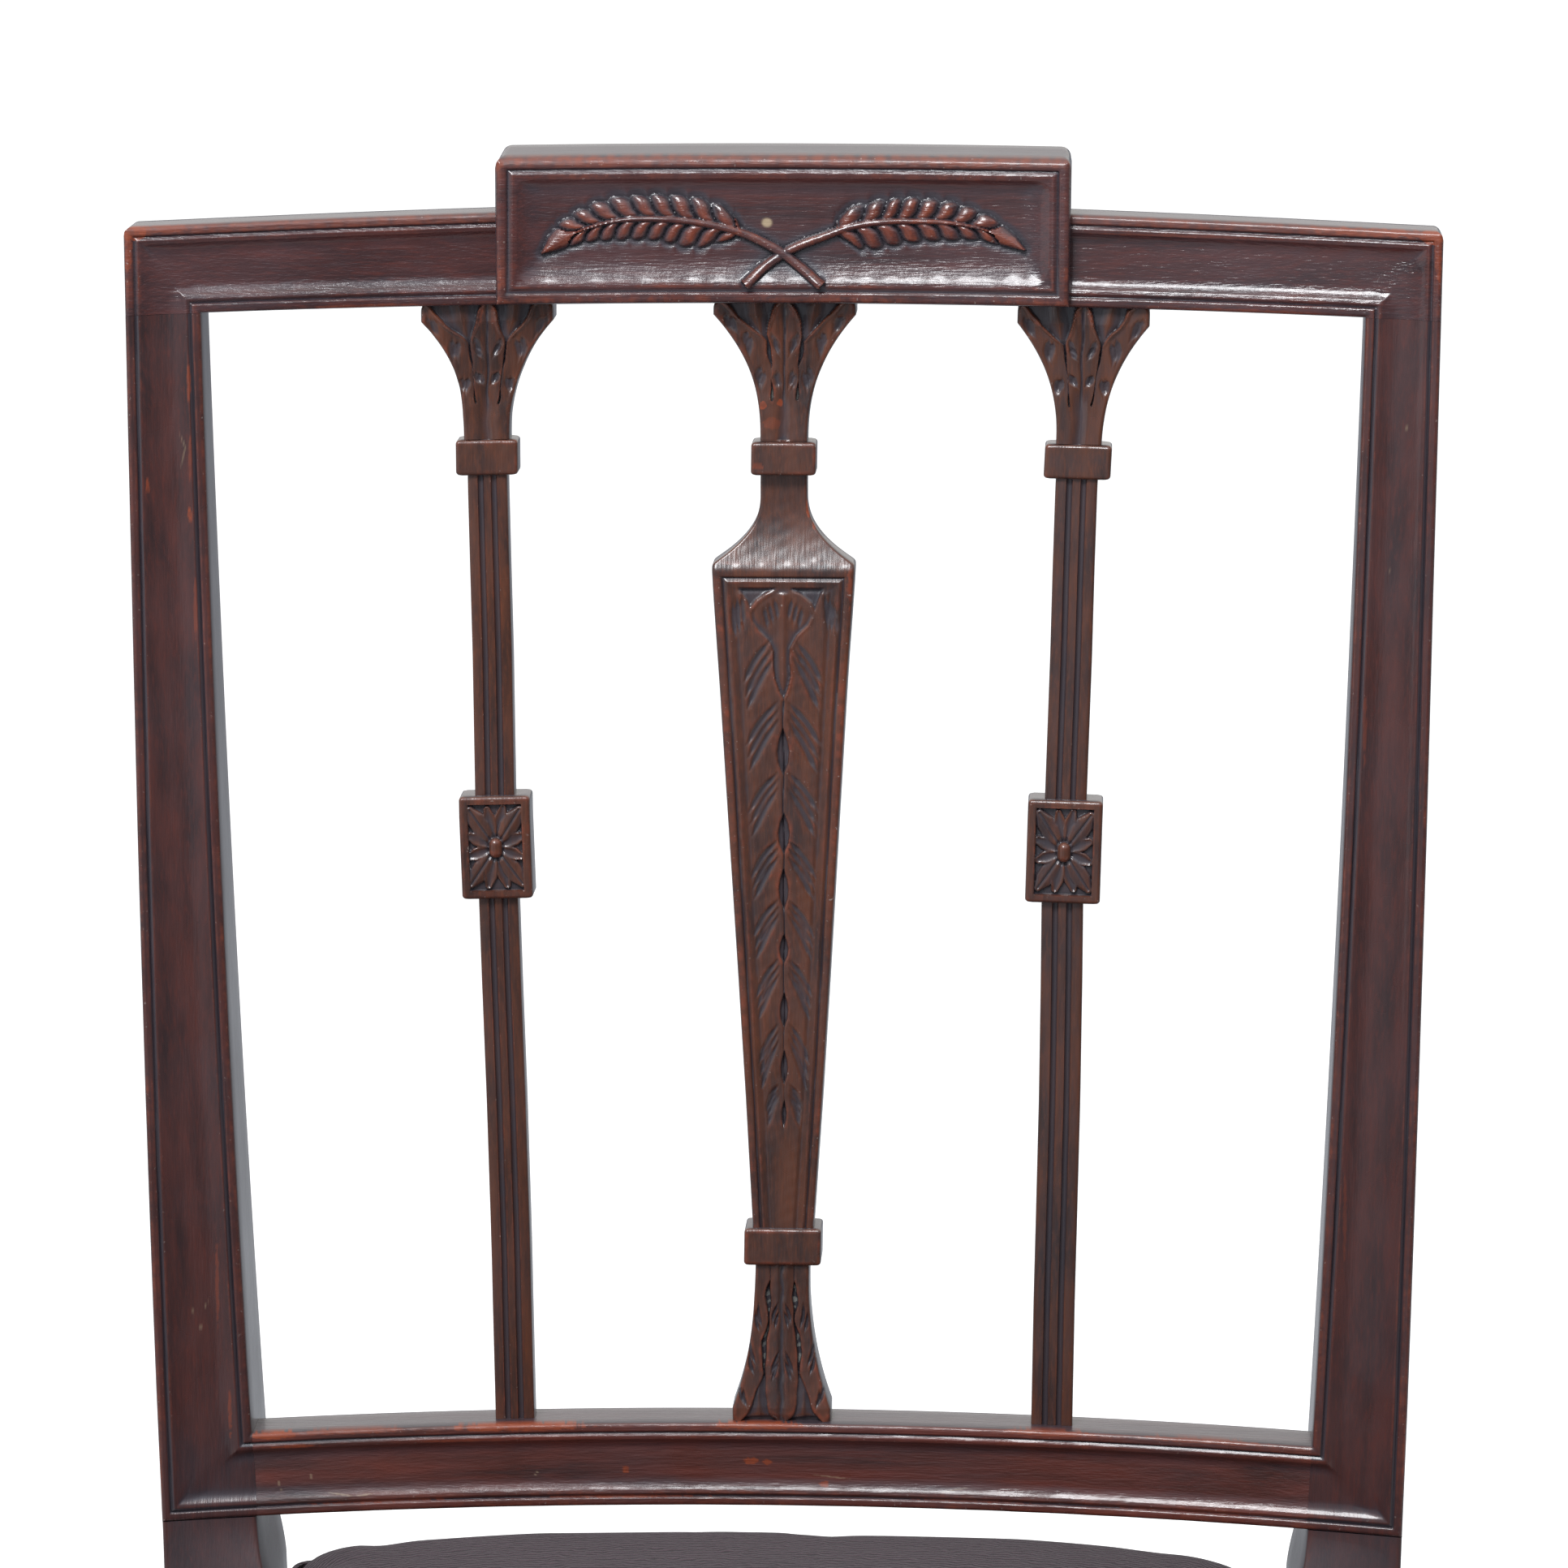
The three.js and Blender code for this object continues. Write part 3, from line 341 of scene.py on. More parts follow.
class Graph:
    """Nodes of a material or world: each method adds one and returns its output."""

    def __init__(self, tree):
        self.tree = tree

    def feed(self, socket, value):
        """Puts a link, a number, a vector or a colour on a socket."""
        if isinstance(value, bpy.types.NodeSocket):
            self.tree.links.new(value, socket)
        elif isinstance(value, tuple) and len(value) < len(socket.default_value):
            socket.default_value = (*value, 1)
        else:
            socket.default_value = value

    def add(self, kind, inputs=None, out=0, **settings):
        made = self.tree.nodes.new(kind)
        for key, value in settings.items():
            setattr(made, key, value)
        for key, value in (inputs or {}).items():
            self.feed(made.inputs[key], value)
        return made.outputs[out]

    def maths(self, operation, a, b, clamp=False):
        return self.add("ShaderNodeMath", {0: a, 1: b}, operation=operation, use_clamp=clamp)

    def times(self, a, b, clamp=False):
        return self.maths("MULTIPLY", a, b, clamp)

    def plus(self, a, b, clamp=False):
        return self.maths("ADD", a, b, clamp)

    def most(self, a, b):
        return self.maths("MAXIMUM", a, b)

    def spread(self, value, low, high, to_low=0.0, to_high=1.0):
        """A value's range laid over another range, and kept inside it."""
        ends = {"From Min": low, "From Max": high, "To Min": to_low, "To Max": to_high}
        return self.add("ShaderNodeMapRange", {"Value": value, **ends}, "Result")

    def blend(self, share, a, b):
        """A colour between two others."""
        return self.add("ShaderNodeMix", {0: share, 6: a, 7: b}, 2, data_type="RGBA")

    def noise(self, vector, scale, detail, roughness):
        inputs = {"Vector": vector, "Scale": scale, "Detail": detail, "Roughness": roughness}
        return self.add("ShaderNodeTexNoise", inputs, "Fac")

    def space(self, scale=(1, 1, 1)):
        """Object coordinates, squeezed by a factor along each axis."""
        coords = self.add("ShaderNodeTexCoord", out="Object")
        return self.add("ShaderNodeMapping", {"Vector": coords, "Scale": scale}, "Vector")

    def mark(self, name):
        """A value written on the mesh's points."""
        return self.add("ShaderNodeAttribute", out="Fac", attribute_name=name)

    def ray(self, kind):
        return self.add("ShaderNodeLightPath", out=f"Is {kind} Ray")

    def finish(self, shader, sockets, bump=None):
        """Feeds the shader. A bump is its height, strength and distance."""
        if bump:
            height, strength, distance = bump
            inputs = {"Height": height, "Strength": strength, "Distance": distance}
            sockets["Normal"] = self.add("ShaderNodeBump", inputs, "Normal")
        for key, value in sockets.items():
            self.feed(shader.inputs[key], value)


def new_material(name):
    material = bpy.data.materials.new(name)
    material.use_nodes = True
    return material, Graph(material.node_tree), material.node_tree.nodes["Principled BSDF"]


def varnished(name, along, deep=(50, 31, 32), warm=(82, 43, 40), red=(108, 48, 36), bloom_and_sheen=0.3,
              peel=0.35, brush=0.45, shine=0.0):
    """Dark glossy mahogany with its grain along an axis: streaks, dark old polish and painted shade in
    hollows, worn edges.

    The bloom strength lays a bluish-grey veil, partly a haze on the old polish and partly a painted sheen
    that stands for the room's reflection; peel and brush are the strength of the uneven polish, and shine
    adds gloss.
    """
    material, g, shader = new_material(name)
    grain = g.space({"x": (0.06, 1, 1), "y": (1, 0.06, 1), "z": (1, 1, 0.06)}[along])
    brushed = g.space({"x": (0.1, 1, 1), "y": (1, 0.1, 1), "z": (1, 0.1, 0.1)}[along])
    plain = g.space()
    streaks = g.noise(grain, 900, 5, 0.6)
    bands = g.noise(grain, 140, 3, 0.5)
    clouds = g.noise(plain, 22, 3, 0.5)
    chips = g.noise(plain, 260, 3, 0.6)
    patches = g.noise(plain, 38, 2, 0.5)
    hollow = g.mark("hollow")
    dirt_and_shade = g.spread(hollow, 0.08, 0.5, 0, 0.8)
    edge = g.spread(hollow, -0.08, -0.36)
    rubbed = g.times(edge, g.spread(chips, 0.4, 0.65, 0.15, 1))
    rubbed = g.times(rubbed, g.spread(patches, 0.4, 0.62, 0.3, 1), True)
    bare = g.times(g.mark("worn"), g.spread(chips, 0.34, 0.5, 0.6, 1), True)
    specks = g.spread(g.noise(plain, 820, 2, 0.5), 0.69, 0.73)
    layers = [
        (g.spread(streaks, 0.48, 0.78, 0, 0.55), red),
        # Bluish-grey bloom: partly haze on the old polish, partly a painted sheen of the room's reflection
        (g.spread(clouds, 0.4, 0.7, 0.3 * bloom_and_sheen, bloom_and_sheen), (88, 76, 84)),
        # Dark old polish with painted shade in hollows, and painted shade in the deepest hollows
        (dirt_and_shade, (62, 58, 66)),
        (g.spread(hollow, 0.65, 1.4, 0, 0.75), (37, 36, 43)),
        (g.times(rubbed, 0.8), (134, 68, 48)),
        (bare, (142, 64, 34)),
        (g.times(g.times(specks, edge), 0.35), (196, 186, 180)),
        (g.times(g.spread(hollow, 2, 3), g.spread(chips, 0.3, 0.6, 0.3, 1)), (122, 122, 118)),
        (g.mark("pale"), (176, 156, 128)),
    ]
    colour = g.blend(g.spread(bands, 0.3, 0.7), srgb(*deep), srgb(*warm))
    for share, tone in layers:
        colour = g.blend(share, colour, srgb(*tone))
    rough = g.spread(clouds, 0.3, 0.7, 0.24 - shine, 0.34 - shine)
    rough = g.plus(rough, g.times(dirt_and_shade, 0.06))
    rough = g.plus(rough, g.times(bare, 0.15))
    rough = g.plus(rough, g.times(g.mark("dull"), 0.35), True)
    pores = g.noise(brushed, 1500, 2, 0.5)
    waves = g.noise(brushed, 560, 3, 0.5)
    rolls = g.noise(plain, 700, 2, 0.5)
    height = g.plus(g.plus(pores, g.times(waves, 1.3)), g.times(rolls, peel))
    g.finish(shader, {"Base Color": colour, "Roughness": rough, "Coat Weight": 0.4 + 2 * shine,
                      "Coat Roughness": 0.07}, (height, brush, 0.0004))
    return material


def cloth_cover():
    """Dark grey-purple crepe: fine wavy ripples, with a soft sheen."""
    material, g, shader = new_material("cover_crepe")
    space = g.space()
    wobble = g.noise(space, 90, 2, 0.5)
    moved = {"Y": g.times(wobble, 0.006), "Z": g.times(wobble, 0.003)}
    waved = {0: space, 1: g.add("ShaderNodeCombineXYZ", moved)}
    ripples = {"Vector": g.add("ShaderNodeVectorMath", waved, operation="ADD"), "Scale": 135,
               "Distortion": 5.0, "Detail": 2.0, "Detail Scale": 1.6}
    ribs = g.add("ShaderNodeTexWave", ripples, "Fac", bands_direction="Y")
    threads = g.noise(g.space((1, 2.2, 2.2)), 1500, 3, 0.6)
    weave = g.plus(ribs, g.times(threads, 0.7))
    clouds = g.spread(g.noise(space, 14, 2, 0.5), 0.3, 0.7)
    colour = g.blend(g.spread(weave, 0.35, 1.3), srgb(34, 24, 31), srgb(82, 64, 73))
    colour = g.blend(g.times(clouds, 0.25), colour, srgb(51, 40, 47))
    g.finish(shader, {"Base Color": colour, "Roughness": 0.85, "Sheen Weight": 0.12,
                      "Sheen Roughness": 0.5}, (weave, 0.7, 0.0009))
    return material


def bare_wood(name, squeeze):
    """Pale planed beech with short flecks along its grain."""
    material, g, shader = new_material(name)
    space = g.space(squeeze)
    bands = g.spread(g.noise(space, 160, 3, 0.5), 0.3, 0.7)
    flecks = g.spread(g.noise(space, 1400, 2, 0.5), 0.55, 0.7)
    dust = g.spread(g.noise(g.space(), 18, 3, 0.6), 0.45, 0.75, 0, 0.4)
    colour = g.blend(bands, srgb(196, 160, 116), srgb(216, 184, 140))
    colour = g.blend(g.times(flecks, 0.5), colour, srgb(150, 112, 74))
    colour = g.blend(dust, colour, srgb(140, 116, 88))
    g.finish(shader, {"Base Color": colour, "Roughness": 0.72}, (flecks, 0.3, 0.0004))
    return material


def jute():
    """Woven jute: crossed yarns with darker gaps between them."""
    material, g, shader = new_material("jute_webbing")
    space = g.space()
    yarns = {"Scale": 150, "Distortion": 1.2, "Vector": space}
    across, along = (g.add("ShaderNodeTexWave", yarns, "Fac", bands_direction=axis) for axis in "XY")
    shade = g.plus(g.times(across, along), g.times(g.noise(space, 1800, 2, 0.6), 0.4))
    colour = g.blend(g.spread(shade, 0.1, 1), srgb(116, 88, 54), srgb(196, 164, 116))
    g.finish(shader, {"Base Color": colour, "Roughness": 0.9}, (shade, 0.6, 0.0006))
    return material


def screw_steel():
    """Dull screw steel with fine scratches and a little tarnish."""
    material, g, shader = new_material("screw_steel")
    tarnish = g.spread(g.noise(g.space(), 500, 4, 0.6), 0.45, 0.7)
    colour = g.blend(tarnish, srgb(170, 166, 160), srgb(104, 92, 82))
    rough = g.spread(tarnish, 0, 1, 0.32, 0.6)
    g.finish(shader, {"Base Color": colour, "Metallic": 1, "Roughness": rough})
    return material


mahogany_up = varnished("mahogany_upright_grain", "z", (53, 34, 34), (84, 47, 43), (100, 46, 36),
                        bloom_and_sheen=0.16, peel=0.0, brush=0.3)
mahogany_across = varnished("mahogany_cross_grain", "x", shine=0.06)
mahogany_deep = varnished("mahogany_depth_grain", "y")
mahogany_carved = varnished("mahogany_carved", "z", (54, 37, 33), (97, 56, 38), (118, 63, 36),
                            bloom_and_sheen=0.12, peel=0.0, brush=0.2)
mahogany_stay = varnished("mahogany_stay_grain", "x", (64, 37, 32), (114, 55, 43))
cover = cloth_cover()
beech_along_y = bare_wood("beech_along", (1, 0.08, 1))
beech_along_x = bare_wood("beech_cross", (0.08, 1, 1))
webbing = jute()
steel = screw_steel()

# Crest rail with its tablet
tablet_half = 104.9
tablet_low = crest_low + 0.5
tablet_high = crest_top + 21.8
tablet_proud = 5
tablet_back = rail_depth + 4
tablet_scale = 1.25
tablet_tilt = 1.6
corner_round = 3.2


def tablet_depth(across, up):
    """Depth of the tablet: a mitred border round a softly coved field."""
    side = tablet_half - np.abs(across)
    low, high = up - tablet_low, tablet_high - up
    widths = (3.9, 4.0, 4.3)
    outer = np.maximum(np.minimum(np.minimum(side, low), high), 0)
    inner = np.minimum(np.minimum(side - widths[0], low - widths[1]), high - widths[2])
    round_by = np.where(high <= outer + 0.01, 3.2, 2.0)
    depth = rounded(outer, round_by) + rounded(np.maximum(-inner, 0), 0.8) * 0.5
    depth = np.where(inner >= 0, cut_and_bead(inner, tablet_scale), depth)
    start = (cut_wall + cut_slope + bead) * tablet_scale
    reaches = ((side - widths[0], 10), (low - widths[1], 10.5), (high - widths[2], 6))
    rise = [(1 - np.clip((d - start) / far, 0, 1)) ** 2.2 for d, far in reaches]
    slope = np.clip(rise[0] ** 2 + rise[1] ** 2 + rise[2] ** 2, 0, 1) ** 0.5
    return np.where(inner >= start, mix(2.9, 0.5, slope), depth)


# Carving: strokes laid on a grid of places across and up a face
class Carving:
    """Relief in millimetres above a face, and how dark its hollows are painted: dark old polish with painted
    shade.
    """

    def __init__(self, across, up):
        self.across, self.up = np.broadcast_arrays(across, up)
        self.relief = np.zeros(self.across.shape)
        self.dark = np.zeros(self.across.shape)
        self.bare = np.zeros(self.across.shape)
        self.dust = np.zeros(self.across.shape)

    def near(self, path, reach):
        """Places within reach of a path, with their distance from it and the share of its length."""
        points = np.asarray(path, dtype=float)
        low, high = points.min(axis=0) - reach, points.max(axis=0) + reach
        spot = (self.across > low[0]) & (self.across < high[0])
        spot &= (self.up > low[1]) & (self.up < high[1])
        a, s = self.across[spot], self.up[spot]
        runs = np.hypot(*np.diff(points, axis=0).T)
        starts = np.concatenate([[0], np.cumsum(runs)])
        best = np.full(a.shape, np.inf)
        share = np.zeros(a.shape)
        for p, q, run, start in zip(points[:-1], points[1:], runs, starts):
            step = (q - p) / max(run, 1e-6)
            t = np.clip((a - p[0]) * step[0] + (s - p[1]) * step[1], 0, run)
            gap = np.hypot(a - p[0] - t * step[0], s - p[1] - t * step[1])
            closer = gap < best
            best = np.where(closer, gap, best)
            share = np.where(closer, (start + t) / starts[-1], share)
        return spot, best, share

    def gouge(self, path, widths, depth, dark=0.8):
        """A hollow cut whose half widths are spread along the path."""
        spot, gap, share = self.near(path, max(widths) + 0.3)
        half = np.interp(share, np.linspace(0, 1, len(widths)), widths)
        inside = np.clip(1 - (gap / np.maximum(half, 0.05)) ** 2, 0, 1)
        scale = np.minimum(half / max(widths) * 1.3, 1) ** 1.5
        self.relief[spot] -= depth * inside * scale
        # Dark old polish and painted shade in the cut
        self.dark[spot] = np.maximum(self.dark[spot], dark * np.minimum(inside * 1.6, 1) * scale)

    def pocket(self, path, widths, depth):
        """A sunk spot with steep sides and a flat bottom."""
        spot, gap, share = self.near(path, max(widths) + 0.6)
        half = np.interp(share, np.linspace(0, 1, len(widths)), widths)
        inside = ramp(half - gap, -0.3, 0.4)
        self.relief[spot] -= depth * inside
        # Dark old polish and painted shade in the pocket
        self.dark[spot] = np.maximum(self.dark[spot], 0.6 * inside)

    def ridge(self, path, widths, height, crown=0.5, base=0.0, crease=0.0, spoon=0.0):
        """A raised form over whatever it crosses: rounded, creased along its middle, or hollowed."""
        spot, gap, share = self.near(path, max(widths) + 0.3)
        half = np.interp(share, np.linspace(0, 1, len(widths)), widths)
        x = gap / np.maximum(half, 0.05)
        body = np.clip(1 - x**2, 0, 1) ** crown
        level = base + height * body - crease * np.exp(-((gap / 0.45) ** 2))
        level = level - spoon * np.clip(1 - (x / 0.75) ** 2, 0, 1)
        raised = (x < 1) & (level > self.relief[spot])
        self.relief[spot] = np.where(raised, level, self.relief[spot])
        # Painted shade along the sides of the raised form
        self.dark[spot] = np.where(raised, np.clip(1.6 * x - 1.25, 0, 0.7), self.dark[spot])

    def take(self, on, other):
        """Takes over another carving on some places."""
        for key in ("relief", "dark", "dust"):
            setattr(self, key, np.where(on, getattr(other, key), getattr(self, key)))

    def polygon(self, outline):
        """Places inside a closed outline, and their distance from it."""
        points = np.asarray(outline, dtype=float)
        loop = np.concatenate([points, points[:1]])
        spot, gap, _ = self.near(loop, 2.5)
        a, s = self.across[spot], self.up[spot]
        inside = np.zeros(a.shape, dtype=bool)
        for (a0, s0), (a1, s1) in zip(loop[:-1], loop[1:]):
            crosses = (s0 > s) != (s1 > s)
            inside ^= crosses & (a < a0 + (s - s0) * (a1 - a0) / (s1 - s0 + 1e-12))
        return spot, gap, inside


def smooth_path(points, count=6):
    """A curve through given points."""
    p = np.asarray(points, dtype=float)
    p = np.concatenate([[2 * p[0] - p[1]], p, [2 * p[-1] - p[-2]]])
    made = []
    for a, b, c, d in zip(p[:-3], p[1:-2], p[2:-1], p[3:]):
        t = np.linspace(0, 1, count, endpoint=False)[:, None]
        bend = (2 * a - 5 * b + 4 * c - d) * t**2
        made.append(0.5 * (2 * b + (c - a) * t + bend + (3 * b - a - 3 * c + d) * t**3))
    return np.concatenate([*made, p[-2:-1]])


# Wheat ears on the tablet: each has its stem, the reach of its grains above and below the stem
# against the share of its length, and the places where the cuts between its grains leave the stem
left_ear = {
    "stem": [(14.3, 483.9), (6.6, 490.3), (-1.9, 496.3), (-13.2, 501.8), (-25.1, 505.1), (-36.9, 506.9),
             (-48.8, 507.6), (-60.7, 507.0), (-72.5, 504.1), (-80.6, 500.2), (-88.1, 495.6)],
    "reach": [(-15.2, 0.4, 0.3), (-18, 4.2, 3.6), (-24, 7.6, 6.8), (-30, 8.6, 9.4), (-37, 9.0, 9.4),
              (-45, 8.6, 7.9), (-53, 8.4, 7.6), (-60, 8.4, 7.2), (-67, 8.0, 6.2), (-74, 6.9, 4.7),
              (-79, 5.8, 3.6), (-84, 3.7, 2.3), (-88.2, 0.3, 0.3)],
    "above": (-12.4, -21.6, -28.8, -36.0, -42.6, -49.4, -56.4, -63.0, -68.6, -73.8),
    "below": (-10.4, -18.2, -25.0, -32.4, -38.0, -44.4, -50.6, -57.0, -62.8, -68.4, -74.4),
    "lean": (7.2, 6.6),
}
right_ear = {
    "stem": [(-13.7, 484.0), (-5.8, 491.2), (4.3, 497.2), (13.5, 500.7), (25.4, 504.9), (37.2, 506.7),
             (49.1, 507.0), (61.0, 506.6), (72.8, 504.6), (80.6, 501.4), (88.3, 497.4)],
    "reach": [(19.4, 0.4, 0.3), (21.6, 4.4, 4.4), (26, 6.8, 8.6), (31, 7.6, 9.7), (39, 7.9, 8.9),
              (46.7, 8.5, 7.9), (53, 8.0, 7.2), (60.6, 7.5, 6.6), (66, 6.9, 5.6), (73, 5.6, 4.2),
              (79, 4.0, 3.4), (84, 2.9, 2.0), (88.6, 0.3, 0.3)],
    "above": (16.0, 26.4, 33.4, 39.0, 45.6, 52.4, 59.0, 65.8, 73.4),
    "below": (14.6, 22.8, 30.4, 38.0, 45.2, 52.6, 60.0, 67.0, 74.6),
    "lean": (5.6, 6.8),
}
grain_rise = 2.7
lean_places = (0, 0.12, 0.4, 0.75, 0.95, 1.0)
lean_shares = (0, 0.36, 0.66, 0.82, 0.96, 1)
stem_widths = (1.95, 1.8, 1.65, 1.45, 1.3, 1.1, 0.7, 0.1)
stem_cut_widths = (2.1, 2.2, 1.9, 1.9, 1.5, 0.3, 0.1)


def carve_ear(carving, ear):
    """One ear: plump grains between curved cuts on both sides of the stem, and the stem over them."""
    path = smooth_path(ear["stem"], 8)
    spot, gap, share = carving.near(path, 12)
    turn = 1 if path[-1][0] > path[0][0] else -1
    runs = np.concatenate([[0], np.cumsum(np.hypot(*np.diff(path, axis=0).T))])
    across, up = carving.across[spot], carving.up[spot]
    above = up > np.interp(turn * across, turn * path[:, 0], path[:, 1])
    place = turn * np.interp(share * runs[-1], runs, path[:, 0])
    ends = turn * np.array([row[0] for row in ear["reach"]])
    height = np.zeros(place.shape)
    reach = np.zeros(place.shape)
    for side, key in enumerate(("above", "below")):
        own = above if side == 0 else ~above
        widths = np.array([row[side + 1] for row in ear["reach"]])
        wide = np.interp(place, ends, widths, left=0, right=0)
        w = np.clip(gap / np.maximum(wide, 0.05), 0, 2)
        lean = ear["lean"][side] * np.interp(w, lean_places, lean_shares)
        cuts = turn * np.array(ear[key])
        v = np.interp(place - lean, cuts, np.arange(len(cuts)), left=0, right=len(cuts) - 1)
        part = v - np.floor(v)
        last = v >= len(cuts) - 1
        first = place - lean < cuts[0]
        hump = np.clip(1 - np.abs(2 * part - 1) ** 1.7, 0, 1) ** 0.55
        hump = np.where(last | first, 1, hump)
        inner_edge = np.clip(w / 0.22, 0, 1)
        inner_edge = np.where(last, 1, 1 - (1 - inner_edge) ** 2)
        tips = wide * np.where(last | first, 1, 1 - 0.2 * np.abs(2 * part - 1) ** 2.5)
        w = np.clip(gap / np.maximum(tips, 0.05), 0, 2)
        plump = hump * inner_edge * np.clip(1 - w**4, 0, 1) ** 0.5
        plump = np.where(last, np.clip(1 - w**1.6, 0, 1) ** 0.6, plump)
        tilt = 1 - 0.18 * part * (1 - last)
        height = np.where(own & (w < 1), plump * tilt, height)
        reach = np.where(own, np.where(wide > 0, gap - tips, 9), reach)
    halo = np.exp(-((np.maximum(reach, 0) / 2.1) ** 2)) * (reach < 9)
    inside = reach < 0
    relief = np.where(inside, grain_rise * height - 0.35, -0.45 * halo)
    carving.relief[spot] = np.where(inside, relief, carving.relief[spot] + relief)
    # Painted shade in the cuts between the grains and on the sunk ground round the ear
    shade = np.where(inside, 0.95 * ramp(height, 0.7, 0.3), 0.5 * halo)
    carving.bare[spot] = np.where(inside, 0.4 * ramp(height, 0.6, 0.9), carving.bare[spot])
    carving.dark[spot] = np.where(inside, shade, np.maximum(carving.dark[spot], shade))
    carving.gouge(path, stem_cut_widths, 0.4, 0.6)
    before = carving.relief.copy()
    carving.ridge(path[:-6], stem_widths, 2.3, 0.45, 0.35)
    start, lead = path[0], path[1] - path[0]
    beyond = (carving.across - start[0]) * lead[0] + (carving.up - start[1]) * lead[1] < 0
    near_end = np.hypot(carving.across - start[0], carving.up - start[1]) < 4
    carving.relief = np.where(beyond & near_end, before, carving.relief)


def tablet_carving(across, up):
    """The crossed ears, and how far each place lies in the pale filled hole between them."""
    carving = Carving(across, up)
    carve_ear(carving, right_ear)
    carve_ear(carving, left_ear)
    filled = np.exp(-(((across + 5.9) / 1.9) ** 2 + ((up - 506) / 1.6) ** 2) ** 3)
    carving.dark *= 1 - filled
    return carving, filled


def blotch(across, up, middle, size, seed):
    """A patch with a ragged edge: 1 inside it and 0 outside."""
    a = (across - middle[0]) / size[0]
    b = (up - middle[1]) / size[1]
    ragged = 0.35 * ripple(across, up, 4, seed) + 0.25 * ripple(across, up, 1.6, seed + 1)
    return ramp(1 - a**2 - b**2 + ragged, 0.0, 0.25)


def blotches(across, up, spots, seed):
    """Several patches together: each is its middle, its half size and its strength."""
    total = np.zeros(np.broadcast(across, up).shape)
    for k, (middle, size, strength) in enumerate(spots):
        total = np.maximum(total, strength * blotch(across, up, middle, size, seed + 2 * k))
    return total


def scratched(across, up, lines):
    """1 on fine scratches, each given by its line and half width, and 0 beside them."""
    scratches = Carving(across, up)
    for line, wide in lines:
        scratches.gouge(line, (0.1, wide, wide, 0.1), 0.1, 1.0)
    return scratches.dark


# Worn patches of the crest rail: the middle, the half size and the strength of each
crest_wear = [((-236.5, 506.5), (5, 3), 0.9), ((236.5, 506.5), (5, 3), 0.9), ((-226, 507.4), (12, 1.4), 0.6),
              ((214, 507.2), (24, 1.5), 0.75), ((-238, 499), (1.4, 8), 0.5), ((238, 499), (1.3, 9), 0.5),
              ((-150, 477.4), (22, 0.8), 0.45), ((170, 477.4), (26, 0.8), 0.4),
              ((150, 503.4), (40, 0.5), 0.3)]


def crest_rail():
    edge_share = tablet_half / post_half_top
    fine = 30 / post_half_top
    bar = ledge_rows((-1, 0.0016), (-1 + fine, 0.008), (-edge_share, 1))
    inside = ledge_rows((-edge_share, 0.0019), (edge_share, 1))
    shares = np.concatenate([bar, inside, -bar[::-1]])
    on_tablet = np.zeros(len(shares), dtype=bool)
    on_tablet[len(bar): len(bar) + len(inside)] = True
    count = 124
    from_end = (1 - np.abs(shares)) * post_half_top
    low = np.where(on_tablet, tablet_low, crest_low + piece_gap)
    high = np.where(on_tablet, tablet_high - rounded(tablet_half - np.abs(shares) * post_half_top, 4),
                    crest_top + crest_arch(shares * post_half_top) - rounded(from_end, corner_round))
    up = mix(low[:, None], high[:, None], np.linspace(0, 1, count)[None])
    across = shares[:, None] * post_outer(up)
    front = frame_depth(across, up)
    face = across[on_tablet], up[on_tablet]
    carving, filled = tablet_carving(*face)
    front[on_tablet] = tablet_depth(*face) - carving.relief + 0.05 * ripple(*face, 9, 7) - tablet_proud
    back = np.where(on_tablet, tablet_back, rail_depth)
    ups, behind, fronts = ring(low, high, front, back, 1.5)
    hollow = hollows(front, 3, ups.shape[1], np.cumsum(np.diff(on_tablet * 1.0, prepend=0) != 0))
    hollow[on_tablet, :fronts] += polish_and_shade_share * carving.dark
    high_side = ramp(ups, tablet_high - 6, tablet_high - 0.5) * on_tablet[:, None]
    ups = ups + tablet_tilt * high_side * np.clip(behind / tablet_back, 0, 1)
    below_top = ups[:, :fronts].max(axis=1, keepdims=True) - up
    top_edge = ramp(below_top, 4.2, 2.6) * np.clip(0.65 + 0.5 * ripple(across, up, 5, 101), 0, 1)
    wear = blotches(across, up, crest_wear, 110)
    worn = on_front(ups.shape, fronts, np.maximum(wear, 0.4 * top_edge))
    worn[on_tablet, :fronts] = np.maximum(carving.bare, 0.45 * top_edge[on_tablet])
    pale = np.zeros(ups.shape)
    pale[on_tablet, :fronts] = filled
    dull = on_front(ups.shape, fronts, 0.7 * ramp(below_top, 4.2, 2.2), 1)
    marks = {"hollow": hollow, "worn": worn, "pale": pale, "dull": dull}
    points = back_point(shares[:, None] * post_outer(ups), ups, behind)
    frame_piece("crest_rail_carved", points, mahogany_across, marks, "crest_rail")


crest_rail()

# Stay rail: its worn patches, and its scratches with their half widths
stay_wear = [((-189, 60.9), (8, 1.6), 1.0), ((-160, 61.2), (20, 1.0), 0.5), ((-98, 60.9), (25, 1.6), 1.0),
             ((-9, 61.0), (17, 1.4), 0.95), ((100, 61.1), (16, 1.1), 0.7), ((158, 61.2), (24, 0.9), 0.5),
             ((-11.7, 46.9), (2.6, 1.5), 0.9), ((-5.6, 46.3), (1.9, 1.2), 0.8),
             ((-58.9, 43.4), (1.4, 1.5), 0.9), ((16, 38.2), (1.8, 1.2), 0.8), ((-182, 56.3), (9, 0.7), 0.8),
             ((-120, 56.2), (14, 0.5), 0.5), ((-150, 33.7), (26, 0.6), 0.6), ((-60, 33.6), (30, 0.6), 0.7),
             ((70, 33.6), (22, 0.5), 0.5), ((-20, 29.8), (60, 0.7), 0.4), ((150, 33.7), (30, 0.5), 0.5)]
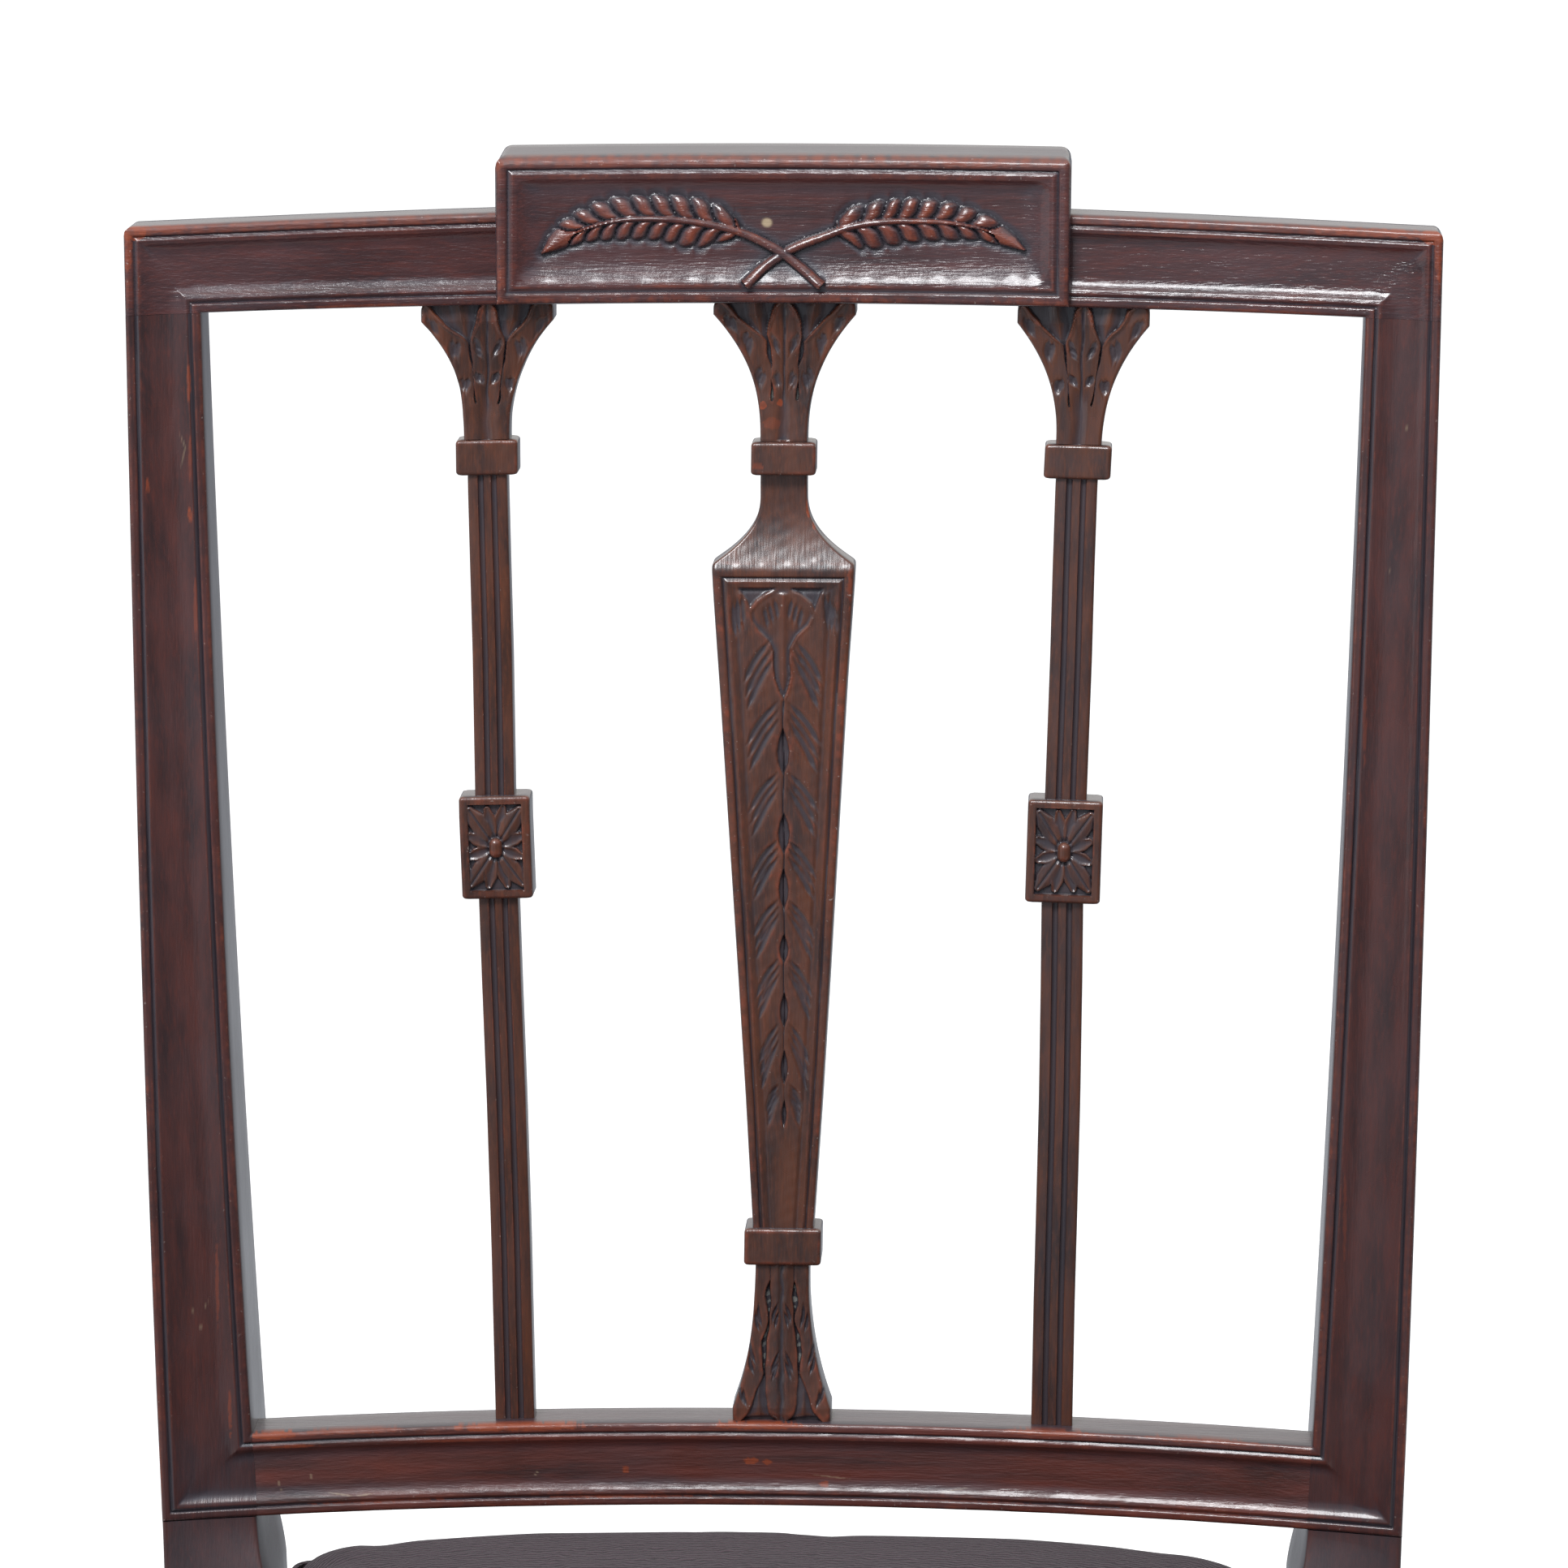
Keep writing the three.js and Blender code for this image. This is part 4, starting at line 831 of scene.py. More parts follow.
stay_scratches = [([(-188.5, 43.5), (-187.2, 38.6)], 0.3), ([(-176, 45.4), (-176.6, 40.4)], 0.25),
                  ([(-170, 37.6), (-160, 35.9)], 0.3), ([(-160, 35.9), (-153, 36.6)], 0.3),
                  ([(-93, 41), (-91.6, 43.4)], 0.3), ([(12, 41.6), (26, 40.2)], 0.25),
                  ([(60, 36.4), (70, 38.4)], 0.2)]


def stay_rail():
    shares = ledge_rows((-1, 0.0036), (1, 1))
    count = 96
    up = mix(stay_low, stay_high, np.linspace(0, 1, count)[None]) + 0 * shares[:, None]
    half = post_inner(up) - piece_gap
    across = shares[:, None] * half
    front = frame_depth(across, up)
    ups, behind, fronts = ring(stay_low, stay_high, front, rail_depth, 1.5)
    hollow = hollows(front, 3, ups.shape[1])
    hollow[:, :fronts] += 0.16 * ramp(across, -110, -190)
    marks = {
        "hollow": hollow,
        "worn": on_front(ups.shape, fronts, blotches(across, up, stay_wear, 130)),
        "pale": on_front(ups.shape, fronts, 0.4 * scratched(across, up, stay_scratches)),
        "dull": on_front(ups.shape, fronts, 0.5 * ramp(across, -90, -180)),
    }
    points = back_point(shares[:, None] * (post_inner(ups) - piece_gap), ups, behind)
    frame_piece("stay_rail_moulded", points, mahogany_stay, marks, "stay_rail")


stay_rail()


def post_point(side, across, up, behind):
    """Points of a rear post and its leg, in metres: up is below zero in the leg."""
    across, up, behind = np.broadcast_arrays(across, up, behind)
    high = back_point(side * across, up, behind)
    base = back_point(side * across, np.maximum(up, 0), 0) / MM
    bow = rail_bow * (1 - (across / post_half_top) ** 2)
    flatten = bow * (1 - ramp(up, 0, stay_low))
    lean = back_rake * np.clip(1 + up / back_lift, 0, 1)
    drop = np.clip(-up, 0, back_lift)
    ease_back = math.tan(back_rake) * (drop - drop * drop / (2 * back_lift))
    rail_bottom = seat_rail_top - seat_rail_height
    leg = np.maximum(rail_bottom - back_base - up, 0) / rail_bottom
    low = np.stack([
        side * across,
        base[..., 1] - flatten - ease_back + rear_leg_sweep * leg**2 + behind * np.cos(lean),
        base[..., 2] + np.minimum(up, 0) - behind * np.sin(lean),
    ], axis=-1) * MM
    return np.where((up >= stay_low)[..., None], high, low)


# Rear posts: their worn patches, and their scratches with their half widths
post_wear = {
    "left": [((-216.2, 404.7), (1.0, 2.1), 0.9), ((-231.6, 415.3), (0.8, 2.4), 0.7),
             ((-216.6, 452), (0.8, 7), 0.6), ((-216.2, 425), (0.6, 9), 0.4), ((-214.6, 370), (0.7, 12), 0.4),
             ((-209.5, 120), (0.7, 16), 0.4), ((-231.5, 44), (0.7, 18), 0.45),
             ((-205.5, 70), (0.7, 10), 0.5)],
    "right": [((213.5, 330), (0.7, 14), 0.3), ((231.5, 60), (0.7, 14), 0.35), ((208.5, 150), (0.7, 16), 0.3)],
}
post_scratches = {
    "left": [([(-220.4, 434.7), (-217.9, 428.8), (-219.9, 421)], 0.32),
             ([(-216, 105), (-215.7, 102.8)], 0.72), ([(-212.8, 113.4), (-214.4, 110.8)], 0.32),
             ([(-218.9, 111), (-218.3, 108.4)], 0.4)],
    "right": [([(227.2, 439.2), (227.6, 438)], 0.72), ([(225.3, 436.6), (225.7, 435.8)], 0.72),
              ([(221.7, 387.2), (221.9, 386.3)], 0.56)],
}
# Painted shade on the posts' plain lower blocks
post_base_shade = 0.24
# How much darker the left post grows towards its bottom
low_post_darkening = 0.2


def rear_post(side, hand):
    rows = ledge_rows((-back_base, 8), (-20, 3), (0, 1.2), (stay_low, 0.4), (stay_high + 8, 1.6),
                      (crest_low - piece_gap, 1))
    start = int(np.searchsorted(rows, stay_low - 0.01))
    rows = np.insert(rows, start, stay_low - 0.02)
    count = 110
    low = rows < stay_low - 0.01
    rail_bottom = seat_rail_top - seat_rail_height
    leg = np.maximum(rail_bottom - back_base - rows, 0) / rail_bottom
    outer = post_outer(rows)
    width = mix(block_width, rear_foot_width, leg)
    below = np.maximum(stay_low - rows, 0)
    front_width = mix(post_width_low, width, np.minimum(below / stay_low, 1) ** 2.1)
    back_width = mix(post_width_low, width, 1 - (1 - np.minimum(below / scoop_height, 1)) ** 1.5)
    inner = np.where(low, outer - front_width, post_inner(rows))
    inner_back = np.where(low, outer - back_width, post_inner(rows))
    depth = np.where(low, mix(post_depth(rows), rear_foot_depth, leg), post_depth(rows))
    across = mix(inner[:, None], outer[:, None], np.linspace(0, 1, count)[None])
    moulded = frame_depth(across, rows[:, None])
    edge = np.minimum(across - inner[:, None], outer[:, None] - across)
    plain = 0.6 + rounded(edge, 1.4) + 0.05 * ripple(across, rows[:, None], 30, 9)
    front = np.where(low[:, None], plain, moulded)
    a, behind, fronts = ring(inner, outer, front, depth, 1.5)
    lean_in = (inner_back - inner)[:, None] * np.clip(behind / depth[:, None], 0, 1)
    on_inner = np.clip((outer[:, None] - a) / (outer - inner)[:, None], 0, 1)
    a = a + lean_in * on_inner * (1 - on_front(a.shape, fronts, 1))
    hollow = hollows(front, 3, a.shape[1])
    outer_edge, inner_edge, _, _ = frame_edges(across, rows[:, None])
    # Painted shade in the V cut inside each rim
    for near in (outer_edge - rim, inner_edge - rim):
        hollow[~low, :fronts] += (polish_and_shade_share * ramp(near, 0, 0.3) * ramp(near, 1.9, 1.2))[~low]
    # Painted shade on the plain block below the moulding
    hollow[low, :fronts] += post_base_shade
    # The left post darker towards its bottom
    if side < 0:
        hollow[~low, :fronts] += low_post_darkening * ramp(rows, 75, 45)[~low][:, None]
    face = side * across, rows[:, None]
    marks = {
        "hollow": hollow,
        "worn": on_front(a.shape, fronts, blotches(*face, post_wear[hand], 170)),
        "pale": on_front(a.shape, fronts, 0.25 * scratched(*face, post_scratches[hand])),
        "dull": 0.5 * low[:, None] + 0 * a,
    }
    points = post_point(side, a, rows[:, None] + 0 * a, behind)
    frame_piece(f"{hand}_rear_post_moulded", points, mahogany_up, marks, f"{hand}_rear_post")


for hand, side in (("left", -1), ("right", 1)):
    rear_post(side, hand)

# Uprights
capital_neck = 8.4
capital_half = 24.2
splat_neck = 8.7
splat_capital_half = 26.2
collar_half = 11.8
collar_proud = 1.8
capital_proud = 5
collar_round = 1.6
block_low = 259.5
block_high = block_low + 38.2
block_proud = 2.6
block_rim = 3.3
block_sink = 1.1
block_shade = 0.38
# How much darker the right upright is all over
right_darkening = 0.15
dust_mark = 3
groove_half = 1.15
groove_sink = 1.2

# How each upright differs from the others (left -1, splat 0, right 1): shifts of its collar's lower and
# upper ends and half width, half widths of its shaft and block, its capital's lip and flare, and the
# places across of its centre line at some heights
collar_fit = {-1: (0.4, 1.2, -0.4), 0: (-0.4, -0.4, 0.2), 1: (0.0, 0.4, 0.5)}
shaft_half = {-1: 7.3, 1: 7.75}
block_half = {-1: 13.1, 1: 13.85}
flare = {-1: (6.0, 2.6), 0: (4.4, 2.35), 1: (6.4, 2.3)}
lean_heights = (62, 109, 122, 139, 185, 230, 260, 290, 350, 381, 411, 436, 453, 476)
lean = {
    -1: (0.1, 0.3, 0.4, 0.4, 0.2, -0.35, -0.65, -1.1, -0.7, -0.87, -1.0, -0.7, 0.3, 0.7),
    0: (-0.3, -0.3, 0, 0.3, 0.6, 0.57, 0.45, 0.3, 0.07, 0.07, -0.1, 0.2, 0.45, 0.4),
    1: (0.2, -0.15, -0.15, -0.15, -0.2, -0.7, -1.2, -1.05, -0.47, -0.45, -0.25, 0.45, 0.66, 0.7),
}


def capital_shape(up, neck, top, low, lip=4.4, power=2.35):
    """Half width, front and back of a capital at a height."""
    share = np.clip((up - low) / (crest_low - lip - low), 0, 1)
    spread = share**power
    half = mix(neck, top, spread) - 1.1 * rounded(crest_low - up, 2.2) / 2.2
    front = upright_setback - mix(1.0, capital_proud, spread)
    back = shaft_back + collar_proud * spread
    return half, front, back


# Leaves of a capital by their drop below the rail: half width of the middle leaf, and the inner edges
# of the outer leaves on the left and on the right
leaf_drops = (0, 1, 2.5, 4.5, 7, 9.5, 12.3, 14, 17, 20, 23, 26, 31, 34, 36, 38, 60)
side_leaf = {
    "middle": (2.2, 3.0, 3.6, 4.0, 4.4, 5.2, 6.2, 6.3, 5.9, 5.7, 5.4, 5.0, 4.5, 4.0, 3.5, 30, 30),
    "left": (21.0, 20.0, 19.0, 17.4, 15.3, 12.2, 8.8, 7.2, 6.9, 6.6, 5.8, 5.3, 4.9, 4.8, 4.4, 3.4, 3.4),
    "right": (17.2, 15.9, 15.3, 14.6, 12.6, 10.2, 8.0, 7.1, 6.9, 6.6, 5.8, 5.3, 4.9, 4.8, 4.4, 3.4, 3.4),
    "ridge": 9.4,
    "gouges": [((21.9, 3.4), (20.3, 8.4), (17.4, 13.6)), ((20.4, 4.0), (18.6, 9.2), (16.2, 13.6)),
               ((12.2, 11.6), (13.0, 16.4), (12.0, 22.6)), ((10.2, 12.6), (11.4, 17.4), (10.6, 22.2)),
               ((8.6, 26.0), (9.4, 29.6), (9.2, 34.0)), ((7.0, 26.4), (8.0, 30.2), (8.0, 33.8))],
    "veins": [((5.2, 11.6), (3.6, 15.4), (0.9, 18.8)), ((4.6, 14.2), (3.2, 17.2), (1.2, 20.4)),
              ((3.4, 24.8), (2.2, 27.6), (0.7, 30.2)), ((4.2, 24.6), (3.3, 27.4), (2.2, 30.0))],
}
centre_leaf = {
    "middle": (2.6, 3.6, 4.6, 5.4, 6.0, 6.3, 6.7, 6.1, 5.3, 4.9, 4.8, 5.3, 4.3, 4.0, 4.1, 30, 30),
    "left": (21.6, 20.4, 19.2, 17.4, 14.6, 11.6, 8.4, 7.2, 7.2, 6.6, 5.4, 5.2, 5.2, 5.4, 5.0, 4.1, 4.1),
    "right": (20.2, 19.2, 18.2, 16.6, 13.8, 11.0, 8.4, 7.2, 7.2, 6.6, 5.4, 5.2, 5.2, 5.4, 5.0, 4.1, 4.1),
    "ridge": 10.4,
    "gouges": [((21.6, 3.8), (20.6, 7.8), (18.2, 12.4)), ((19.9, 4.4), (18.6, 8.8), (16.6, 12.8)),
               ((13.8, 10.4), (14.6, 13.6), (14.2, 18.0)), ((12.0, 12.0), (13.0, 17.0), (12.4, 22.0)),
               ((8.6, 23.0), (9.7, 27.4), (9.4, 32.0)), ((7.0, 25.0), (8.4, 29.4), (8.4, 33.8))],
    "veins": [((5.3, 10.6), (4.2, 15.0), (2.2, 19.8)), ((3.6, 12.2), (2.8, 16.6), (1.2, 21.0)),
              ((3.2, 24.4), (2.2, 28.6), (0.8, 33.0)), ((4.2, 25.6), (3.3, 29.6), (2.1, 32.8))],
}


def leaf_cuts(carving, cuts, mirror, rng, widths, depth, dark):
    """Curved cuts on one side of a leaf, each a little out of its place."""
    for cut in cuts:
        jog = rng.uniform(-0.3, 0.3, 2)
        path = [(mirror * p + jog[0], q + jog[1]) for p, q in cut]
        carving.gouge(smooth_path(path, 4), widths, depth, dark)


def carve_capital(carving, leaf, seed):
    """Acanthus-like leaves below the crest rail."""
    rows = carving.up[:, 0] > collar_top
    a, s = carving.across[rows], carving.up[rows]
    rng = np.random.default_rng(seed)
    drop = crest_low - s + 0.35 * ripple(a, s, 9, seed)
    side = a + 0.3 * ripple(a, s, 11, seed + 1)
    x = np.abs(side)
    middle = np.interp(drop, leaf_drops, leaf["middle"])
    outer = np.where(side < 0, np.interp(drop, leaf_drops, leaf["left"]),
                     np.interp(drop, leaf_drops, leaf["right"]))
    slit = ramp(drop, 11.5, 15)
    middle = middle + 0.2 * slit
    outer = outer - 0.3 * slit
    on_middle = ramp(middle - x, -0.2, 0.3)
    on_outer = ramp(x - outer, -0.2, 0.3)
    ground = -1.7
    back_ridge = mix(leaf["ridge"] + 0.8, leaf["ridge"] - 1.6, np.clip(drop / 12, 0, 1))
    rise = 1.2 * np.clip(1 - np.abs(x - back_ridge) / 3.4, 0, 1) * (1 - slit)
    ground = ground + rise
    fold = np.clip(x / np.maximum(middle, 0.5), 0, 1)
    middle_top = 0.2 - 0.9 * np.abs(fold - 0.55) ** 1.5 * ramp(drop, 34, 8)
    middle_top = middle_top + 0.9 * np.exp(-(((middle - x) - 0.6) / 0.55) ** 2) * ramp(drop, 13, 8)
    lip = 0.9 * np.exp(-(((x - outer) - 0.8) / 0.8) ** 2) * ramp(drop, 15, 10)
    outer_top = mix(lip - 0.35, 0.2, ramp(drop, 30, 38))
    relief = mix(ground, middle_top, on_middle)
    relief = mix(relief, outer_top, on_outer)
    vein = 0.6 * np.exp(-((side / 0.45) ** 2)) * ramp(drop, 0.5, 3) * ramp(drop, 40, 30)
    valley = 1.2 * np.exp(-((side / 2.2) ** 2)) * ramp(drop, 24, 38)
    relief = relief - vein - valley
    covered = np.maximum(on_middle, on_outer)
    # Painted shade on the ground behind the leaves, in the vein and down the valley
    dark = np.clip(mix(0.4, 0.5, slit) * (1 - covered) + 0.7 * vein + 0.3 * valley, 0, 0.85)
    carving.relief[rows] += relief
    carving.dark[rows] = np.maximum(carving.dark[rows], dark)
    carving.dust[rows] = ramp(covered, 0.5, 0.1) * slit * ramp(drop, 18, 30)
    for mirror in (-1, 1):
        for kind, widths, depth in (("gouges", (0.3, 1.4, 1.7, 1.2, 0.6, 0.1), 0.7),
                                    ("veins", (0.3, 1.4, 1.3, 0.6, 0.1), 0.6)):
            cuts = [[(p, crest_low - q) for p, q in cut] for cut in leaf[kind]]
            leaf_cuts(carving, cuts, mirror, rng, widths, depth, 0.35)


# Flower on a block: leaf-shaped petals round a boss. Each is its tip's places to the right and left
# of the middle and above it, its half widths, and how deep it is creased and hollowed
petals = [
    (9.2, -9.2, 13.8, (0.8, 2.6, 3.6, 3.5, 1.6), 0.7, 0.0),
    (9.2, -9.2, -13.8, (0.8, 2.5, 3.5, 3.4, 1.5), 0.7, 0.0),
    (3.2, -2.8, 14.4, (0.6, 1.5, 2.5, 2.5, 1.3), 0.0, 0.9),
    (3.6, -3.0, -13.6, (0.6, 1.5, 2.5, 2.6, 1.4), 0.0, 1.0),
    (9.3, -9.3, 4.0, (0.6, 1.7, 2.5, 2.6, 1.7), 0.0, 0.8),
    (9.3, -9.3, -3.4, (0.6, 1.7, 2.5, 2.6, 1.5), 0.0, 1.0),
]


def carve_block(carving, seed, half):
    """Sunk panel with its flower."""
    middle = (block_low + block_high) / 2
    wide, tall = half - block_rim, (block_high - block_low) / 2 - block_rim
    a, s = carving.across, carving.up
    inside = np.minimum(wide - np.abs(a), tall - np.abs(s - middle))
    on = ramp(inside, -0.25, 0.3)
    carving.relief -= (block_sink + 0.5) * on
    # Painted shade in the sunk panel
    carving.dark = np.maximum(carving.dark, 0.4 * on)
    rng = np.random.default_rng(seed)
    for right, left, y, widths, crease, spoon in petals:
        for x in (right, left):
            reach = np.array([x, y]) + rng.uniform(-0.35, 0.35, 2)
            path = [np.array([0, middle]) + reach * t for t in (0.1, 0.4, 0.75, 1)]
            tilt = 0.35 * rng.uniform(0, 1)
            carving.ridge(path, widths, 1.7 - tilt, 0.35, -(block_sink + 0.4), crease, spoon)
    carving.dark = np.maximum(carving.dark, block_shade * on)
    carving.gouge([(0, middle - 2.2), (0, middle + 2.2)], (3.4, 3.4), 0.8, 0.6)
    carving.ridge([(0, middle - 1.3), (0, middle + 1.3)], (2.6, 2.6), 3.0, 0.5, -(block_sink + 0.2))
    carving.relief = np.where(inside < -0.25, np.minimum(carving.relief, 0), carving.relief)


def box_shape(up, low, high, half, front, back):
    """Half width, front and back of a collar or block whose ends are rounded."""
    fall = rounded(np.minimum(up - low, high - up), collar_round)
    return half - fall, front + fall, back - fall


def upright_skin(name, node_name, side, rows, half, front, back, carving, kinds, wear=()):
    """A closed skin of an upright, standing on its own centre line."""
    a, behind, fronts = ring(-half, half, front, back, 1.0, 3, 3)
    share = (rows - stay_high) / (crest_low - stay_high)
    centre = side * mix(upright_half_low, upright_half_high, share)[:, None]
    centre = centre + np.interp(rows, lean_heights, lean[side])[:, None]
    hollow = hollows(front, 4, a.shape[1], kinds, 0.12)
    # The carving's dark old polish and painted shade, and the right upright a little darker all over
    hollow[:, :fronts] += polish_and_shade_share * carving.dark + (right_darkening if side > 0 else 0)
    hollow[:, :fronts] = np.where(carving.dust > 0.5, dust_mark, hollow[:, :fronts])
    worn = on_front(a.shape, fronts, blotches(a[:, :fronts], rows[:, None], wear, 150))
    points = back_point(centre + a, rows[:, None], behind)
    frame_piece(name, points, mahogany_carved, {"hollow": hollow, "worn": worn}, node_name, 62)


def joined(zones):
    """Zones of rows and shapes end to end: each is rows, half, front, back and a kind."""
    rows = np.concatenate([zone[0] for zone in zones])
    shapes = [np.concatenate([zone[k] + 0 * zone[0] for zone in zones]) for k in (1, 2, 3)]
    kinds = np.concatenate([np.full(len(zone[0]), k) for k, zone in enumerate(zones)])
    return rows, *shapes, kinds


def face_grid(rows, half, count):
    """Places across and up a face, and their distance from its edges."""
    across = np.linspace(-1, 1, count)[None] * half[:, None]
    return across, rows[:, None] + 0 * across, half[:, None] - np.abs(across)


def top_zones(side, neck, half, behind):
    """Zones of an upright's collar and capital, and the height where the collar starts."""
    lower, upper, wider = collar_fit[side]
    under, over = collar_low + lower, collar_top + upper
    collar = ledge_rows((under, 0.3), (under + 2, 1), (over - 2, 0.3), (over, 1))
    capital = ledge_rows((over, 0.34), (crest_low - piece_gap, 1))
    return under, [
        (collar, *box_shape(collar, under, over, collar_half + wider, upright_setback - collar_proud,
                            shaft_back + behind)),
        (capital, *capital_shape(capital, neck, half, collar_top, *flare[side])),
    ]


def reeded_upright(side, hand):
    count = 116
    low = stay_high + piece_gap
    under, top = top_zones(side, capital_neck, capital_half, collar_proud - 1)
    block_rows = ledge_rows((block_low, 0.3), (block_high, 1))
    zones = [
        (ledge_rows((low, 0.5), (low + 3, 5), (block_low - 2, 0.5), (block_low, 1)),
         shaft_half[side], upright_setback, shaft_back),
        (block_rows, *box_shape(block_rows, block_low, block_high, block_half[side],
                                upright_setback - block_proud, shaft_back + block_proud)),
        (ledge_rows((block_high, 0.5), (block_high + 2, 5), (under - 2, 0.5), (under, 1)),
         shaft_half[side], upright_setback, shaft_back),
        *top,
    ]
    rows, half, face, back, kinds = joined(zones)
    across, up, edge = face_grid(rows, half, count)
    front = face[:, None] + rounded(edge, 1.3)
    shaft = np.isin(kinds, (0, 2))[:, None]
    from_groove = np.abs(np.abs(across) - half[:, None] / 3)
    groove = np.sqrt(np.clip(1 - (from_groove / groove_half) ** 2, 0, 1))
    round_off = 0.35 * (across / half[:, None]) ** 4
    front = np.where(shaft, face[:, None] + rounded(edge, 0.9) + groove_sink * groove + round_off, front)
    carving = Carving(across, up)
    # Painted shade in the reed grooves
    carving.dark = np.where(shaft, 0.5 * groove, 0)
    leaves, flower = Carving(across, up), Carving(across, up)
    carve_capital(leaves, side_leaf, 30 + side)
    carve_block(flower, 50 + side, block_half[side])
    carving.take((kinds == 4)[:, None], leaves)
    carving.take((kinds == 1)[:, None], flower)
    front = front - carving.relief + 0.05 * ripple(across, up, 6, 60 + side)
    upright_skin(f"{hand}_upright_carved", f"{hand}_upright", side, rows, half, front, back, carving,
                 kinds)


for hand, side in (("left", -1), ("right", 1)):
    reeded_upright(side, hand)

# Splat
splat_front = upright_setback - capital_proud / 2
splat_back = upright_setback + 12
foot_collar_low = stay_high + 59.4
foot_collar_high = foot_collar_low + 14.2
foot_collar_half = 14.4
splat_shoulder = crest_low - 95.4
shoulder_lip = 8
ogee_height = 25.5
shoulder_round = 0.6
scoop_slope = 0.52
scoop_height_above = 26
splat_foot_half = 11.4
splat_shoulder_half = 26.2
foot_half = 18.4
foot_neck = 10.1
foot_lip = 5
foot_proud = 2.5
panel_rim = 3.4
panel_scale = 1.1
panel_hollow = 3.2


def splat_half(up):
    share = (up - foot_collar_high) / (splat_shoulder - foot_collar_high)
    return mix(splat_foot_half, splat_shoulder_half, share)


def shoulder_half(up):
    """Half width of the splat above its lower collar, with the shoulder rounded off."""
    share = np.clip((up - splat_shoulder + 0.7) / ogee_height, -0.5, 1)
    ogee = mix(splat_neck, splat_shoulder_half + 2.5, (1 - share) ** 2.3)
    body = splat_half(up) + 0.35 * ramp(up, 330, 380)
    return (body + ogee) / 2 - np.sqrt(((body - ogee) / 2) ** 2 + shoulder_round**2)


def scoop(up):
    """How far the splat's front falls back above its shoulder: steepest just over the roll."""
    share = np.linspace(0, 1, 200)
    steep = scoop_slope * ramp(share, 0, 0.15) * (1 - share) ** 0.8
    depth = np.cumsum(steep) * scoop_height_above / len(share)
    return np.interp(up, splat_shoulder - 3.5 + scoop_height_above * share, depth)


def panel_depth(a, s):
    """Border of the splat's panel: rim, groove, bead and a soft hollow before the leaves."""
    scale = mix(0.78, 1, (s - foot_collar_high) / (splat_shoulder - foot_collar_high))
    side = np.maximum(shoulder_half(s) - np.abs(a), 0) / scale
    edge = np.minimum(side, (splat_shoulder - 0.7 - s) / scale)
    inner = edge - panel_rim
    depth = rounded(side, 1.4) + rounded(np.maximum(-inner, 0), 0.7) * 0.6
    depth = np.where(inner >= 0, cut_and_bead(inner, panel_scale), depth)
    start = (cut_wall + cut_slope + bead) * panel_scale
    along = np.clip((inner - start) / panel_hollow, 0, 1)
    own = bead_depth + 0.35 * np.sin(math.pi * along) ** 1.5
    return np.where(inner >= start, own, depth)


husk_tiers = [(354, 329), (331.2, 306), (305.7, 282), (280.3, 258.6), (258, 237),
              (236.2, 214.2), (212.4, 188), (189.4, 174)]
husk_eyes = [(321.7, 305, 2.3), (290.6, 275.9, 2.1), (269.9, 255.4, 1.8), (245.5, 235.2, 1.6),
             (223.7, 211.2, 1.5), (202.1, 189.9, 1.3), (183.2, 173.7, 0.9)]
bell = [(-1.2, 372.4), (-4.6, 370.9), (-9.4, 367.4), (-11.9, 364.1), (-11.4, 361.2), (-9.0, 357.8),
        (-5.2, 353.8), (-3.6, 350.0), (-3.7, 345.0), (-3.0, 340.0), (-1.4, 335.4), (0.2, 332.6),
        (1.8, 336.6), (2.9, 341.3), (2.4, 346.7), (2.6, 351.2), (5.2, 356.0), (9.2, 359.8),
        (10.9, 363.4), (9.6, 366.8), (5.2, 370.4), (1.4, 372.0)]
corner_sinks = [[(-1.6, 373.4), (-5.2, 371.8), (-9.8, 368.6), (-12.4, 365.6), (-13.6, 368.6),
                 (-15.8, 371.6), (-17.0, 373.4)],
                [(1.6, 373.4), (5.8, 371.2), (10.2, 367.8), (11.8, 364.6), (12.8, 368.0),
                 (14.0, 371.0), (15.4, 373.4)]]


